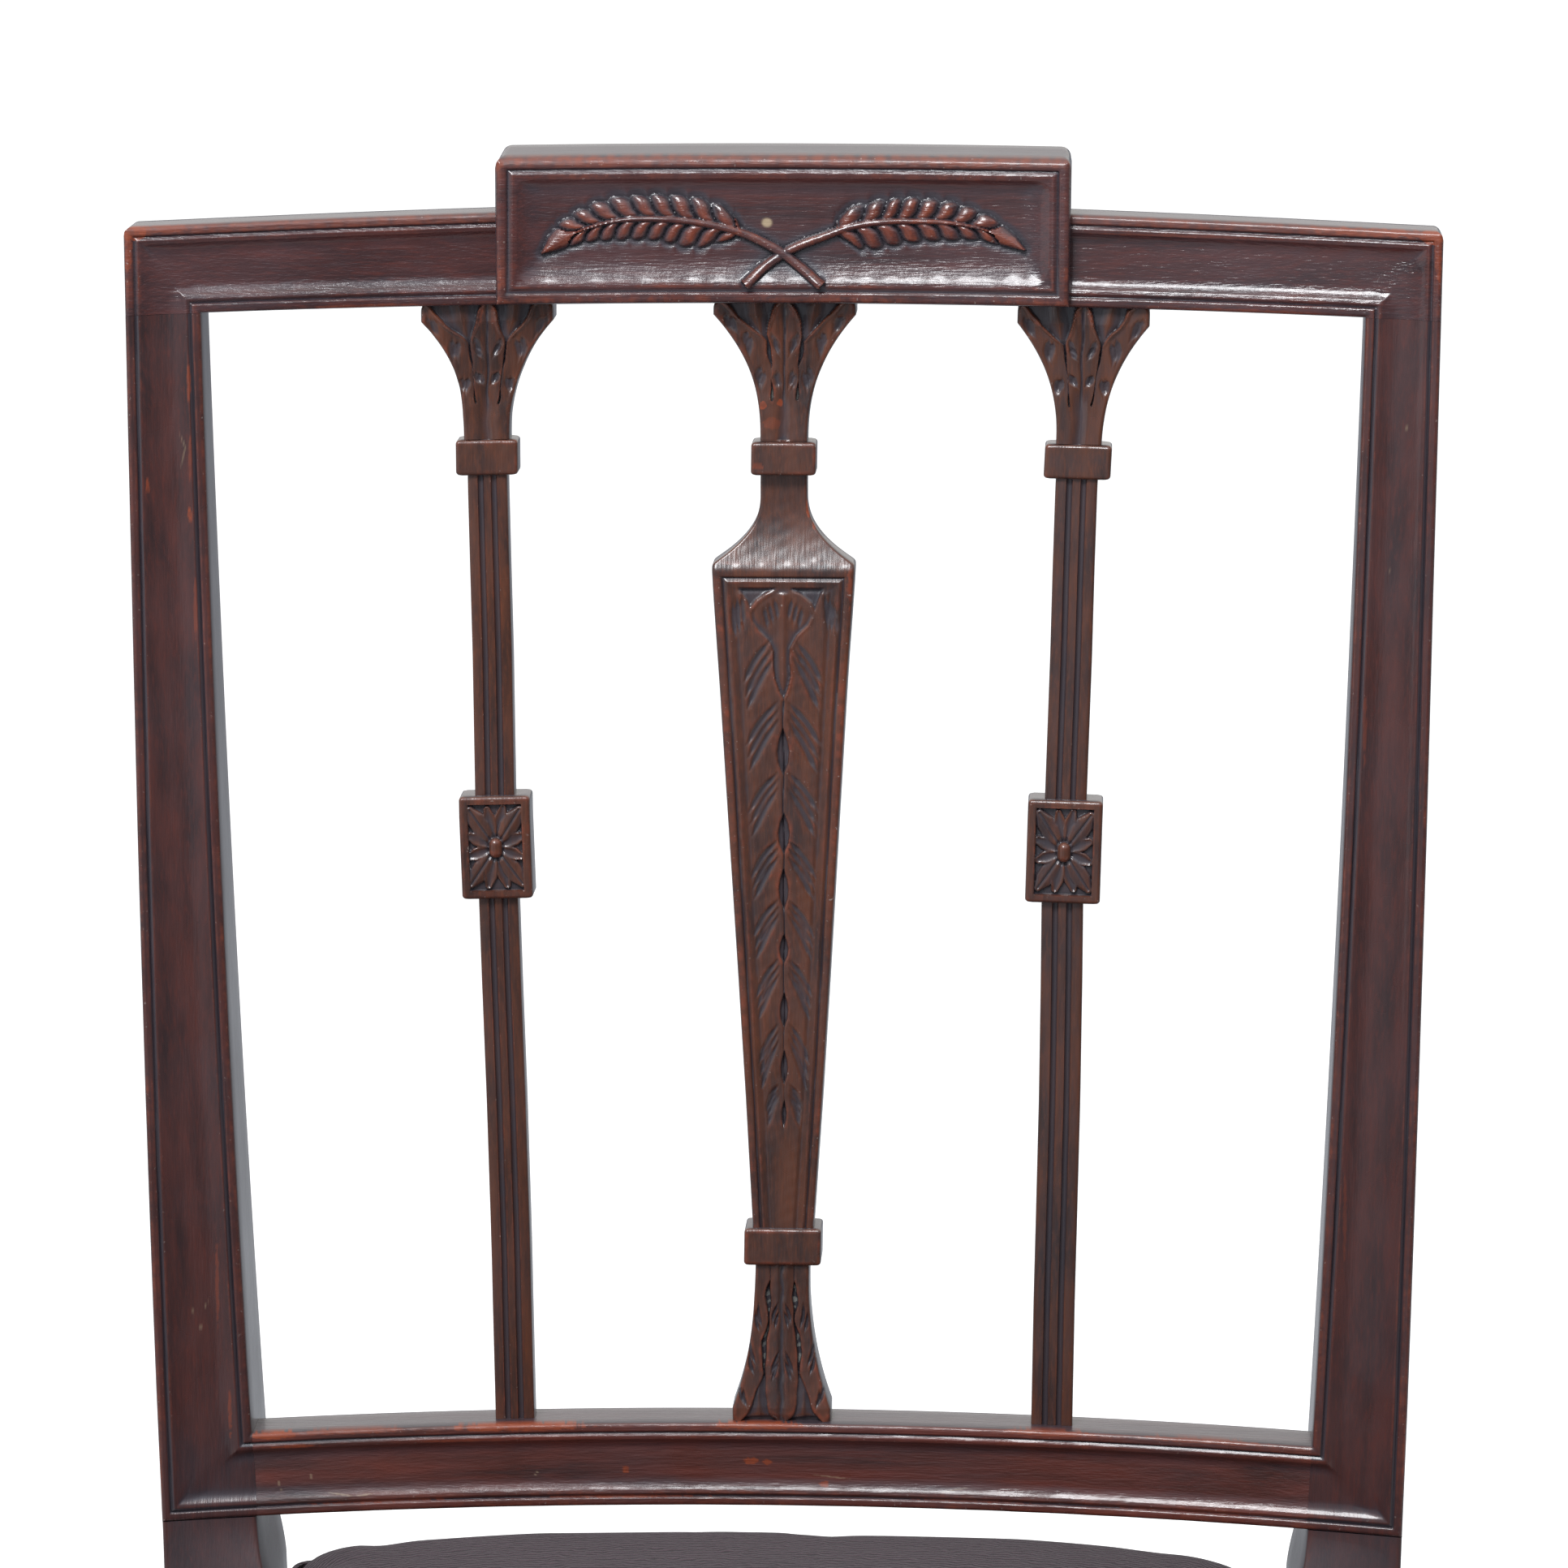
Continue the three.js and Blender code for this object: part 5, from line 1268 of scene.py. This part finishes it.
def carve_husks(carving):
    """A bellflower with falling husks down the splat's panel."""
    rng = np.random.default_rng(71)
    spot, gap, inside = carving.polygon(bell)
    a, s = carving.across[spot], carving.up[spot]
    upper = ramp(s, 356, 368)
    sunk = mix(-0.75, -0.15, upper) - mix(0.45, 0.0, upper) * np.exp(-gap / 1.8)
    sunk = sunk + 0.4 * np.exp(-((a / 1.3) ** 2)) * ramp(gap, 0.3, 1.6)
    within = ramp(np.where(inside, gap, -gap), -0.3, 0.45)
    rim_line = 0.3 * np.exp(-((gap / 0.6) ** 2)) * (1 - upper)
    carving.relief[spot] = mix(carving.relief[spot] + rim_line, sunk, within)
    shade = np.where(inside, 0.25 * np.exp(-gap / 1.0), 0)
    carving.dark[spot] = np.maximum(carving.dark[spot], shade)
    for outline in corner_sinks:
        spot, gap, inside = carving.polygon(outline)
        carving.relief[spot] -= 1.1 * ramp(np.where(inside, gap, -gap), -0.2, 0.9)
        # Painted shade in the corner sinks
        carving.dark[spot] = np.maximum(carving.dark[spot], np.where(inside, 0.5 * ramp(gap, -0.1, 0.5), 0))
    for side in (-1, 1):
        for k in range(3):
            top = np.array([side * (3.4 + 1.9 * k), 369.4 - 1.5 * k])
            carving.gouge([top, top + (side * -1.0, -4.4), top + (side * -1.6, -8.4)],
                          (0.3, 1.1, 0.9, 0.2), 0.6, 0.3)
            top = np.array([side * (15.2 + 1.7 * k), 371.6 - 1.6 * k])
            low = top + np.array([side * (1.2 if side > 0 else -1.0), -13.5])
            carving.gouge([top, (top + low) / 2 + (side * 0.3, 0), low], (0.3, 1.2, 1.1, 0.3), 0.7, 0.34)
        for tier, (high, low) in enumerate(husk_tiers):
            reach = 1 if tier < 7 else 0.75
            for k in range(3):
                start = 5.0 - 0.7 * k if tier == 0 else 2.3 - 0.2 * k
                drop = (high - low) * 0.125 * k
                jog = rng.uniform(-0.35, 0.35, 3)
                end_up = mix(high, low, 0.62 + 0.19 * k) + jog[2]
                root = np.array([side * (start + 0.3 * jog[0]), high - drop + jog[1]])
                end_half = splat_half(end_up) * (0.61 - 0.02 * k) * reach
                end_half = max(end_half, 2.5)
                end = np.array([side * end_half, end_up])
                bow = (root + end) / 2 + np.array([side * 0.5, 0.5])
                size = mix(0.55, 1, min(splat_half(end_up) / 24, 1))
                widths = [w * size for w in (0.5, 1.3, 1.55, 1.5, 0.5)]
                carving.gouge(smooth_path([root, bow, end], 5), widths, 0.85 * size, 0.34)
    for high, low, half in husk_eyes:
        shift_a = rng.uniform(-0.2, 0.2)
        path = [(shift_a, high), (shift_a * 0.5, mix(high, low, 0.55)), (0.0, low)]
        carving.pocket(path, (0.1, half * 0.7, half, half * 0.8, 0.1), 1.3)
    crack = [(0.25 * math.sin(0.21 * s), s) for s in np.linspace(332, 172, 40)]
    carving.gouge(crack, (0.4, 0.34, 0.28, 0.12), 0.6, 0.8)


def carve_foot(carving):
    """Leaves that spread down to the stay rail."""
    rows = carving.up[:, 0] < foot_collar_low
    a, s = carving.across[rows], carving.up[rows]
    rise = s - stay_high + 0.3 * ripple(a, s, 8, 83)
    side = a + 0.25 * ripple(a, s, 9, 84)
    x = np.abs(side)
    heights = (0, 1.2, 3, 6, 10, 14, 18, 22, 26, 30, 34, 38, 41, 44, 47, 50, 53, 70)
    middle = np.interp(rise, heights, (2.2, 3.6, 4.8, 5.6, 6.0, 6.2, 6.3, 6.1, 6.0, 5.6, 5.0, 4.7, 4.6,
                                       4.3, 4.1, 4.3, 4.6, 4.6))
    outer = np.interp(rise, heights, (15.2, 13.8, 12.2, 11.0, 9.8, 8.2, 6.6, 6.9, 7.4, 7.2, 5.9, 4.8, 4.9,
                                      5.7, 6.0, 5.5, 4.5, 4.4))
    on_middle = ramp(middle - x, -0.25, 0.35)
    on_outer = ramp(x - outer, -0.25, 0.35)
    slit = ramp(rise, 15, 19)
    ridge = 0.9 * np.exp(-np.abs(x - 8.4) / 1.4) * (1 - slit) * ramp(rise, 0.5, 3)
    ground = mix(-1.4, -2.0, slit) + ridge - 1.2 * ramp(rise, 2.2, 0.4)
    middle_top = 0.1 - 0.5 * (x / np.maximum(middle, 0.5)) ** 2 - 0.8 * ramp(rise, 2.6, 0)
    outer_top = -0.1 - 0.8 * ramp(rise, 2.4, 0) * ramp(np.abs(x - 15.5), 0.5, 3.5)
    relief = mix(mix(ground, middle_top, on_middle), outer_top, on_outer)
    groove = 0.8 * np.exp(-((side / 0.9) ** 2))
    relief = relief - groove
    covered = np.maximum(on_middle, on_outer)
    carving.relief[rows] += relief
    # Painted shade on the ground behind the leaves and in the groove
    dark = np.clip(0.75 * (1 - covered) + 0.5 * groove, 0, 0.85)
    carving.dark[rows] = np.maximum(carving.dark[rows], dark)
    carving.dust[rows] = ramp(covered, 0.4, 0.1) * slit * ramp(ripple(a, s, 3, 86), -0.2, 0.3)
    rng = np.random.default_rng(85)
    cuts = [((1.0, 107), (2.6, 102.5), (3.2, 98.6)), ((0.9, 103.6), (2.0, 100), (2.4, 97)),
            ((1.0, 88.6), (2.8, 83.6), (4.2, 79.2)), ((0.9, 85), (2.4, 80.6), (3.4, 77)),
            ((8.4, 107), (8.4, 102), (7.2, 97)), ((9.6, 104), (9.2, 99.6), (8.2, 95.6)),
            ((11.6, 93), (11.2, 87.6), (9.4, 82.6)), ((12.4, 88), (12.0, 83.6), (10.6, 79.4)),
            ((15.6, 76.6), (15.4, 72.6), (14.2, 68.6)), ((14.2, 74.6), (14.0, 70.6), (12.8, 67))]
    for mirror in (-1, 1):
        leaf_cuts(carving, cuts, mirror, rng, (0.15, 0.7, 0.85, 0.2), 0.85, 0.8)


splat_wear = [((9.0, 402), (0.9, 3.2), 1.0), ((11.2, 395.5), (0.7, 2.2), 0.8),
              ((-7.9, 439.6), (1.3, 1.7), 1.0), ((-1.6, 440.2), (1.2, 1.6), 1.0),
              ((-4.5, 433), (3.4, 2.4), 0.35), ((-9.5, 417.5), (2.2, 1.4), 0.5),
              ((12.3, 421), (1.1, 3.2), 0.4), ((24.6, 374), (0.9, 8), 0.5), ((22, 300), (0.8, 30), 0.35)]


def centre_splat():
    count = 108
    low = stay_high + piece_gap
    foot_rows = ledge_rows((low, 0.38), (foot_collar_low, 1))
    foot_share = np.clip((foot_rows - low - foot_lip) / (foot_collar_low - low - foot_lip), 0, 1)
    spread = (1 - foot_share) ** 2.4
    foot_collar_rows = ledge_rows((foot_collar_low, 0.3), (foot_collar_low + 2, 1.2),
                                  (foot_collar_high - 2, 0.3), (foot_collar_high, 1))
    panel_rows = ledge_rows((foot_collar_high, 0.52), (splat_shoulder - shoulder_lip, 0.3),
                            (splat_shoulder, 1))
    under, top = top_zones(0, splat_neck, splat_capital_half, collar_proud)
    ogee_rows = ledge_rows((splat_shoulder + 0.3, 0.6), (splat_shoulder + ogee_height, 2), (under, 1))
    zones = [
        (foot_rows, mix(foot_neck, foot_half, spread), splat_front - foot_proud * spread, splat_back),
        (foot_collar_rows, *box_shape(foot_collar_rows, foot_collar_low, foot_collar_high, foot_collar_half,
                                      splat_front - collar_proud, splat_back + collar_proud)),
        *((own, shoulder_half(own), splat_front + scoop(own), splat_back) for own in (panel_rows, ogee_rows)),
        *top,
    ]
    rows, half, face, back, kinds = joined(zones)
    across, up, edge = face_grid(rows, half, count)
    panel = (kinds == 2)[:, None]
    front = face[:, None] + np.where(panel, panel_depth(across, up), rounded(edge, 1.1))
    carving = Carving(across, up)
    for kind, carve, *given in ((0, carve_foot), (2, carve_husks), (5, carve_capital, centre_leaf, 91)):
        own = Carving(across, up)
        carve(own, *given)
        carving.take((kinds == kind)[:, None], own)
    front = front - carving.relief + 0.05 * ripple(across, up, 6, 72)
    upright_skin("centre_splat_carved", "centre_splat", 0, rows, half, front, back, carving, kinds,
                 splat_wear)


centre_splat()

# Seat: a crowned drop-in pad, notched round the posts, over a border that wraps its frame
rail_thickness = 24
rail_inset = 2
rebate = 12
seat_play = 0.8
ledge_height = seat_rail_top - 14
border_low = ledge_height + 0.3
border_high = max(border_low + 15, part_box("left_slip_rail")[1][2] / MM + 0.8)
cover_thickness = 2
seat_half_front = 264
leg_back = seat_front + 42
pad_front = seat_front + rail_inset + rail_thickness - rebate + seat_play
notch_half = 185.4
notch_front = block_front - 8
pad_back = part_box("seat_pad")[1][1] / MM - shift
webs_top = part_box("cross_web_1")[1][2] / MM
pad_radii = [22, 7, 6, 16, 10, 6, 7, 22]
pad_edge = 9
pad_roll = 18
pad_roll_width = 24
pad_crown = 20
pad_voxel = 5
seam_lift = 2.5

# Unevenness of the stuffing: it falls to the sides, swells a little in the middle, stays full at the
# left rear corner and sags at the right
side_fall, fall_start, fall_width = 6, 88, 92
middle_rise, middle_place, middle_width = 1.4, 4, 70
corner_fill, corner_start, corner_end = 1.6, 146, 176
right_sag, sag_start, sag_end = 0.5, 120, 160

# Air in the pad: pressure, frames and the longest move
cloth_pressure = 4
cloth_quality = 5
cloth_frames = 20
longest_move = 7


def pad_side(y):
    share = (y - leg_back) / (block_front - leg_back)
    outer = mix(seat_half_front, post_half_seat, share) - rail_inset
    return outer - rail_thickness + rebate - seat_play


def rounded_outline(corners, radii, count=6):
    """A closed outline whose corners are rounded."""
    made = []
    total = len(corners)
    for k in range(total):
        before, at, after = (np.array(corners[(k + d) % total], dtype=float) for d in (-1, 0, 1))
        to_before = (before - at) / np.hypot(*(before - at))
        to_after = (after - at) / np.hypot(*(after - at))
        for t in np.linspace(0, 1, count):
            start, end = at + to_before * radii[k], at + to_after * radii[k]
            made.append((1 - t) ** 2 * start + 2 * t * (1 - t) * at + t * t * end)
    return np.array(made)


def pad_outline(inset):
    """Corners of the seat, notched round the posts: from the right front round the back to the left."""
    front, back = pad_front + inset, pad_back - inset
    notch_y = notch_front - inset
    right = [(pad_side(front) - inset, front), (pad_side(notch_y) - inset, notch_y),
             (notch_half - inset, notch_y), (notch_half - inset, back)]
    left = [(-x, y) for x, y in reversed(right)]
    return right + left


def prism_mesh(name, outline, low, high):
    """A closed prism over an outline, for remeshing."""
    count = len(outline)
    points = [(x * MM, (y + shift) * MM, z * MM) for z in (low, high) for x, y in outline]
    ids = np.arange(count)
    after = np.roll(ids, -1)
    quads = np.stack([ids, after, after + count, ids + count], axis=-1)
    return make_piece(name, np.array(points), [quads, ids[None, ::-1], (ids + count)[None]], cover)


def applied(piece, kind, **settings):
    """Applies one modifier to a piece, and returns its new mesh."""
    modifier = piece.modifiers.new("step", kind)
    for key, value in settings.items():
        setattr(modifier, key, value)
    bpy.context.view_layer.update()
    depsgraph = bpy.context.evaluated_depsgraph_get()
    made = bpy.data.meshes.new_from_object(piece.evaluated_get(depsgraph))
    piece.modifiers.clear()
    piece.data = made
    return made


def places(mesh):
    co = np.empty(len(mesh.vertices) * 3, dtype=np.float32)
    mesh.vertices.foreach_get("co", co)
    return co.reshape(-1, 3)


def seat_cushion():
    low, high = webs_top + 0.4, seat_rail_top + 40
    piece = prism_mesh("seat_cushion", rounded_outline(pad_outline(0.6), pad_radii), low, high)
    even = applied(piece, "REMESH", mode="VOXEL", voxel_size=pad_voxel * MM)
    x, y, z = (places(even).astype(float) / MM).T
    y = y - shift
    _, near, inside = Carving(x, y).polygon(rounded_outline(pad_outline(0), pad_radii))
    near = near * inside
    a = np.clip(x / pad_side(y), -1, 1)
    b = np.clip(2 * (y - pad_front) / (pad_back - pad_front) - 1, -1, 1)
    share = 1 - np.clip(near / pad_roll_width, 0, 1)
    top = seat_rail_top + pad_edge + pad_roll * np.sqrt(1 - share**2) + pad_crown * (1 - a**2) * (1 - b**2)
    top = top - side_fall * np.clip((np.abs(x) - fall_start) / fall_width, 0, 1) ** 1.3
    top = top + middle_rise * np.exp(-((x - middle_place) / middle_width) ** 2)
    top = top + corner_fill * ramp(-x, corner_start, corner_end) - right_sag * ramp(x, sag_start, sag_end)
    rise = (z - low) / (high - low)
    z = low + rise * (top - seam_lift - low)
    keep = ramp(rise, 0.0, 0.35)
    start = np.stack([x * MM, (y + shift) * MM, z * MM], axis=-1)
    even.vertices.foreach_set("co", start.astype(np.float32).ravel())
    even.update()
    swell(piece, start, keep)
    fine = applied(piece, "SUBSURF", levels=1, render_levels=1)
    fine.polygons.foreach_set("use_smooth", np.ones(len(fine.polygons), dtype=bool))
    fine.materials.clear()
    fine.materials.append(cover)
    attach(piece, "seat")
    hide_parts("seat_pad")


def swell(piece, start, keep):
    """Fills the pad with air as cloth. Its underside keeps its place, and no move is over the longest."""
    cloth = piece.modifiers.new("cloth", "CLOTH")
    cloth.settings.use_pressure = True
    cloth.settings.uniform_pressure_force = cloth_pressure
    cloth.settings.effector_weights.gravity = 0
    cloth.settings.quality = cloth_quality
    scene = bpy.context.scene
    for number in range(1, cloth_frames + 1):
        scene.frame_set(number)
    blown = piece.evaluated_get(bpy.context.evaluated_depsgraph_get())
    moved = places(blown.to_mesh()) - start
    blown.to_mesh_clear()
    length = np.linalg.norm(moved, axis=1, keepdims=True)
    most = longest_move * MM
    end = start + moved * most * np.tanh(length / most) / np.maximum(length, 1e-9) * keep[:, None]
    piece.modifiers.clear()
    scene.frame_set(1)
    piece.data.vertices.foreach_set("co", end.astype(np.float32).ravel())
    piece.data.update()


def seat_border():
    """Cover pulled down round the frame: a closed strip inside the rebate.

    Its corners are nearly square where they cover the wood, and as round as the pad's at the top.
    """
    def strip_row(inset, radii, height):
        return rounded_outline(pad_outline(inset), radii, 8), height

    levels = (border_low, border_low + 8, border_high)
    rows = [strip_row(0.3, [6, 5, 4, 7, 6, 4, 5, 6], height) for height in levels]
    rows.append(strip_row(0.3, [22, 5, 4, 16, 10, 4, 5, 22], webs_top + 3))
    rows.append(strip_row(cover_thickness, [20, 4, 5, 15, 9, 5, 4, 20], webs_top + 3))
    rows += [strip_row(cover_thickness, [3, 4, 5, 4, 3, 5, 4, 3], height) for height in levels[::-1]]
    points = np.array([[(x * MM, (y + shift) * MM, z * MM) for x, y in loop] for loop, z in rows])
    around = points.transpose(1, 0, 2)
    count, high = around.shape[:2]
    ids = np.arange(count * high).reshape(count, high)
    ahead, up_one = np.roll(ids, -1, axis=0), np.roll(ids, -1, axis=1)
    corner = np.roll(ahead, -1, axis=1)
    quads = np.stack([ids, ahead, corner, up_one], axis=-1).reshape(-1, 4)
    flat = around.reshape(-1, 3)
    if signed_volume(flat, quads) < 0:
        quads = quads[:, ::-1]
    piece = make_piece("seat_cover_border", flat, [quads], cover)
    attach(piece, "seat")


seat_cushion()
seat_border()

# Finishes for the nodes that stay as they are
plain_finish = {
    "front_seat_rail": mahogany_across, "rear_seat_rail": mahogany_across,
    "left_seat_rail": mahogany_deep, "right_seat_rail": mahogany_deep,
    "left_front_leg": mahogany_up, "right_front_leg": mahogany_up,
    "left_stretcher": mahogany_deep, "right_stretcher": mahogany_deep,
    "medial_stretcher": mahogany_across, "rear_stretcher": mahogany_across,
}
for hand in ("left", "right"):
    plain_finish[f"{hand}_slip_rail"] = beech_along_y
    for place in ("front", "rear"):
        plain_finish[f"{hand}_{place}_corner_block"] = beech_along_x
        plain_finish[f"{hand}_{place}_cross_screw"] = steel
        plain_finish[f"{hand}_{place}_side_screw"] = steel
plain_finish["front_slip_rail"] = plain_finish["rear_slip_rail"] = beech_along_x
for k in (1, 2, 3):
    plain_finish[f"long_web_{k}"] = plain_finish[f"cross_web_{k}"] = webbing
for name, material in plain_finish.items():
    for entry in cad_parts[name].material_slots:
        entry.link = "OBJECT"
        entry.material = material

# Floor, world and lights
floor_white = 0.72
floor_mirrored = 0.1
floor_mesh = bpy.data.meshes.new("floor")
floor_mesh.from_pydata([(-7, -1.4, 0), (7, -1.4, 0), (7, 9, 0), (-7, 9, 0)], [], [(0, 1, 2, 3)])
floor = bpy.data.objects.new("floor", floor_mesh)
bpy.context.scene.collection.objects.link(floor)


def floor_material():
    """Pale matt floor, lifted to white where it is seen, with the chair's shadow left on it.

    Polished wood mirrors it darker under the chair and greyer far behind it, like a real room.
    """
    material, g, shader = new_material("floor_pale")
    tone = g.spread(g.noise(g.space(), 3, 2, 0.5), 0.3, 0.7)
    pale = g.blend(tone, (0.79, 0.79, 0.79), (0.81, 0.81, 0.81))
    depth = g.add("ShaderNodeSeparateXYZ", {"Vector": g.space()}, "Y")
    seen = g.blend(g.spread(depth, 1.5, 4.0), (0.64, 0.67, 0.72), (0.42, 0.45, 0.52))
    seen = g.blend(g.spread(depth, -0.8, 0.6), (0.3, 0.3, 0.3), seen)
    shown = g.most(g.times(g.ray("Glossy"), floor_mirrored), g.ray("Camera"))
    lift = g.times(g.most(shown, g.ray("Transmission")), floor_white)
    g.finish(shader, {"Base Color": g.blend(g.ray("Glossy"), pale, seen), "Roughness": 0.9,
                      "Emission Color": (1, 1, 1), "Emission Strength": lift})
    return material


def studio_world():
    """White where it is seen, plain soft light, and a room with a dim front for reflections."""
    world = bpy.data.worlds.new("studio")
    bpy.context.scene.world = world
    world.use_nodes = True
    g = Graph(world.node_tree)
    heading = g.add("ShaderNodeTexCoord", out="Generated")
    x, y, z = (g.add("ShaderNodeSeparateXYZ", {"Vector": heading}, axis) for axis in "XYZ")
    glossy = g.ray("Glossy")
    behind = g.spread(y, -0.1, 0.5, 0.1, 1.0)
    above = g.spread(z, 0.35, 0.75, 0, 1.3)
    front = g.spread(z, -0.2, 0.2, 0.24, 0.36)
    for start, end, low, high in ((-0.25, 0.1, 1.48, 0.82), (-0.75, -0.3, 0.35, 1), (-0.06, 0.06, 1, 0.5)):
        front = g.times(front, g.spread(x, start, end, low, high))
    mirrored = g.times(g.most(g.most(behind, above), front), glossy)
    room = g.times(g.maths("SUBTRACT", 1, glossy), 0.46)
    clear = g.most(g.ray("Camera"), g.ray("Transmission"))
    tint = g.blend(glossy, (1.0, 1.0, 1.0), (1.0, 0.98, 0.955))
    bluish = g.times(g.spread(y, 0.1, -0.5, 0, 1), glossy)
    g.finish(world.node_tree.nodes["Background"], {
        "Strength": g.most(g.plus(mirrored, room), clear),
        "Color": g.blend(bluish, tint, (0.8, 0.93, 1.06)),
    })


floor_mesh.materials.append(floor_material())
studio_world()


def lamp(name, at, aim, size, power, colour=(1, 1, 1)):
    data = bpy.data.lights.new(name, "AREA")
    data.shape = "RECTANGLE"
    data.size, data.size_y = size
    data.energy = power
    data.color = colour
    made = bpy.data.objects.new(name, data)
    made.location = at
    made.rotation_euler = (Vector(aim) - Vector(at)).to_track_quat("-Z", "Y").to_euler()
    bpy.context.scene.collection.objects.link(made)


lamp("key", (-0.65, -1.05, 2.9), (0, 0.2, 0.7), (1.0, 0.8), 57, (0.97, 0.985, 1.0))
lamp("side", (-2.6, -1.2, 1.3), (0, 0.2, 0.7), (1.6, 1.8), 6, (0.86, 0.93, 1.0))

# Camera: where it stands, and how it turns, from a fit of the back to the photograph
camera_place = (120.32, -2282.99, 1072.38)
camera_yaw = math.radians(2.907)
camera_pitch = math.radians(18.135)
camera_roll = math.radians(-0.478)
focal_pixels = 8282.57
image_pixels = 1932
sensor = 36

camera_data = bpy.data.cameras.new("camera")
camera = bpy.data.objects.new("camera", camera_data)
bpy.context.scene.collection.objects.link(camera)
camera_data.sensor_width = sensor
camera_data.lens = focal_pixels / image_pixels * sensor
camera_data.clip_end = 50
camera.location = (camera_place[0] * MM, (camera_place[1] + shift) * MM, (camera_place[2] + back_base) * MM)
turn = Matrix.Rotation(camera_yaw, 4, "Z") @ Matrix.Rotation(math.pi / 2 - camera_pitch, 4, "X")
camera.rotation_euler = (turn @ Matrix.Rotation(camera_roll, 4, "Z")).to_euler()
bpy.context.scene.camera = camera
bpy.context.scene.view_settings.view_transform = "Standard"
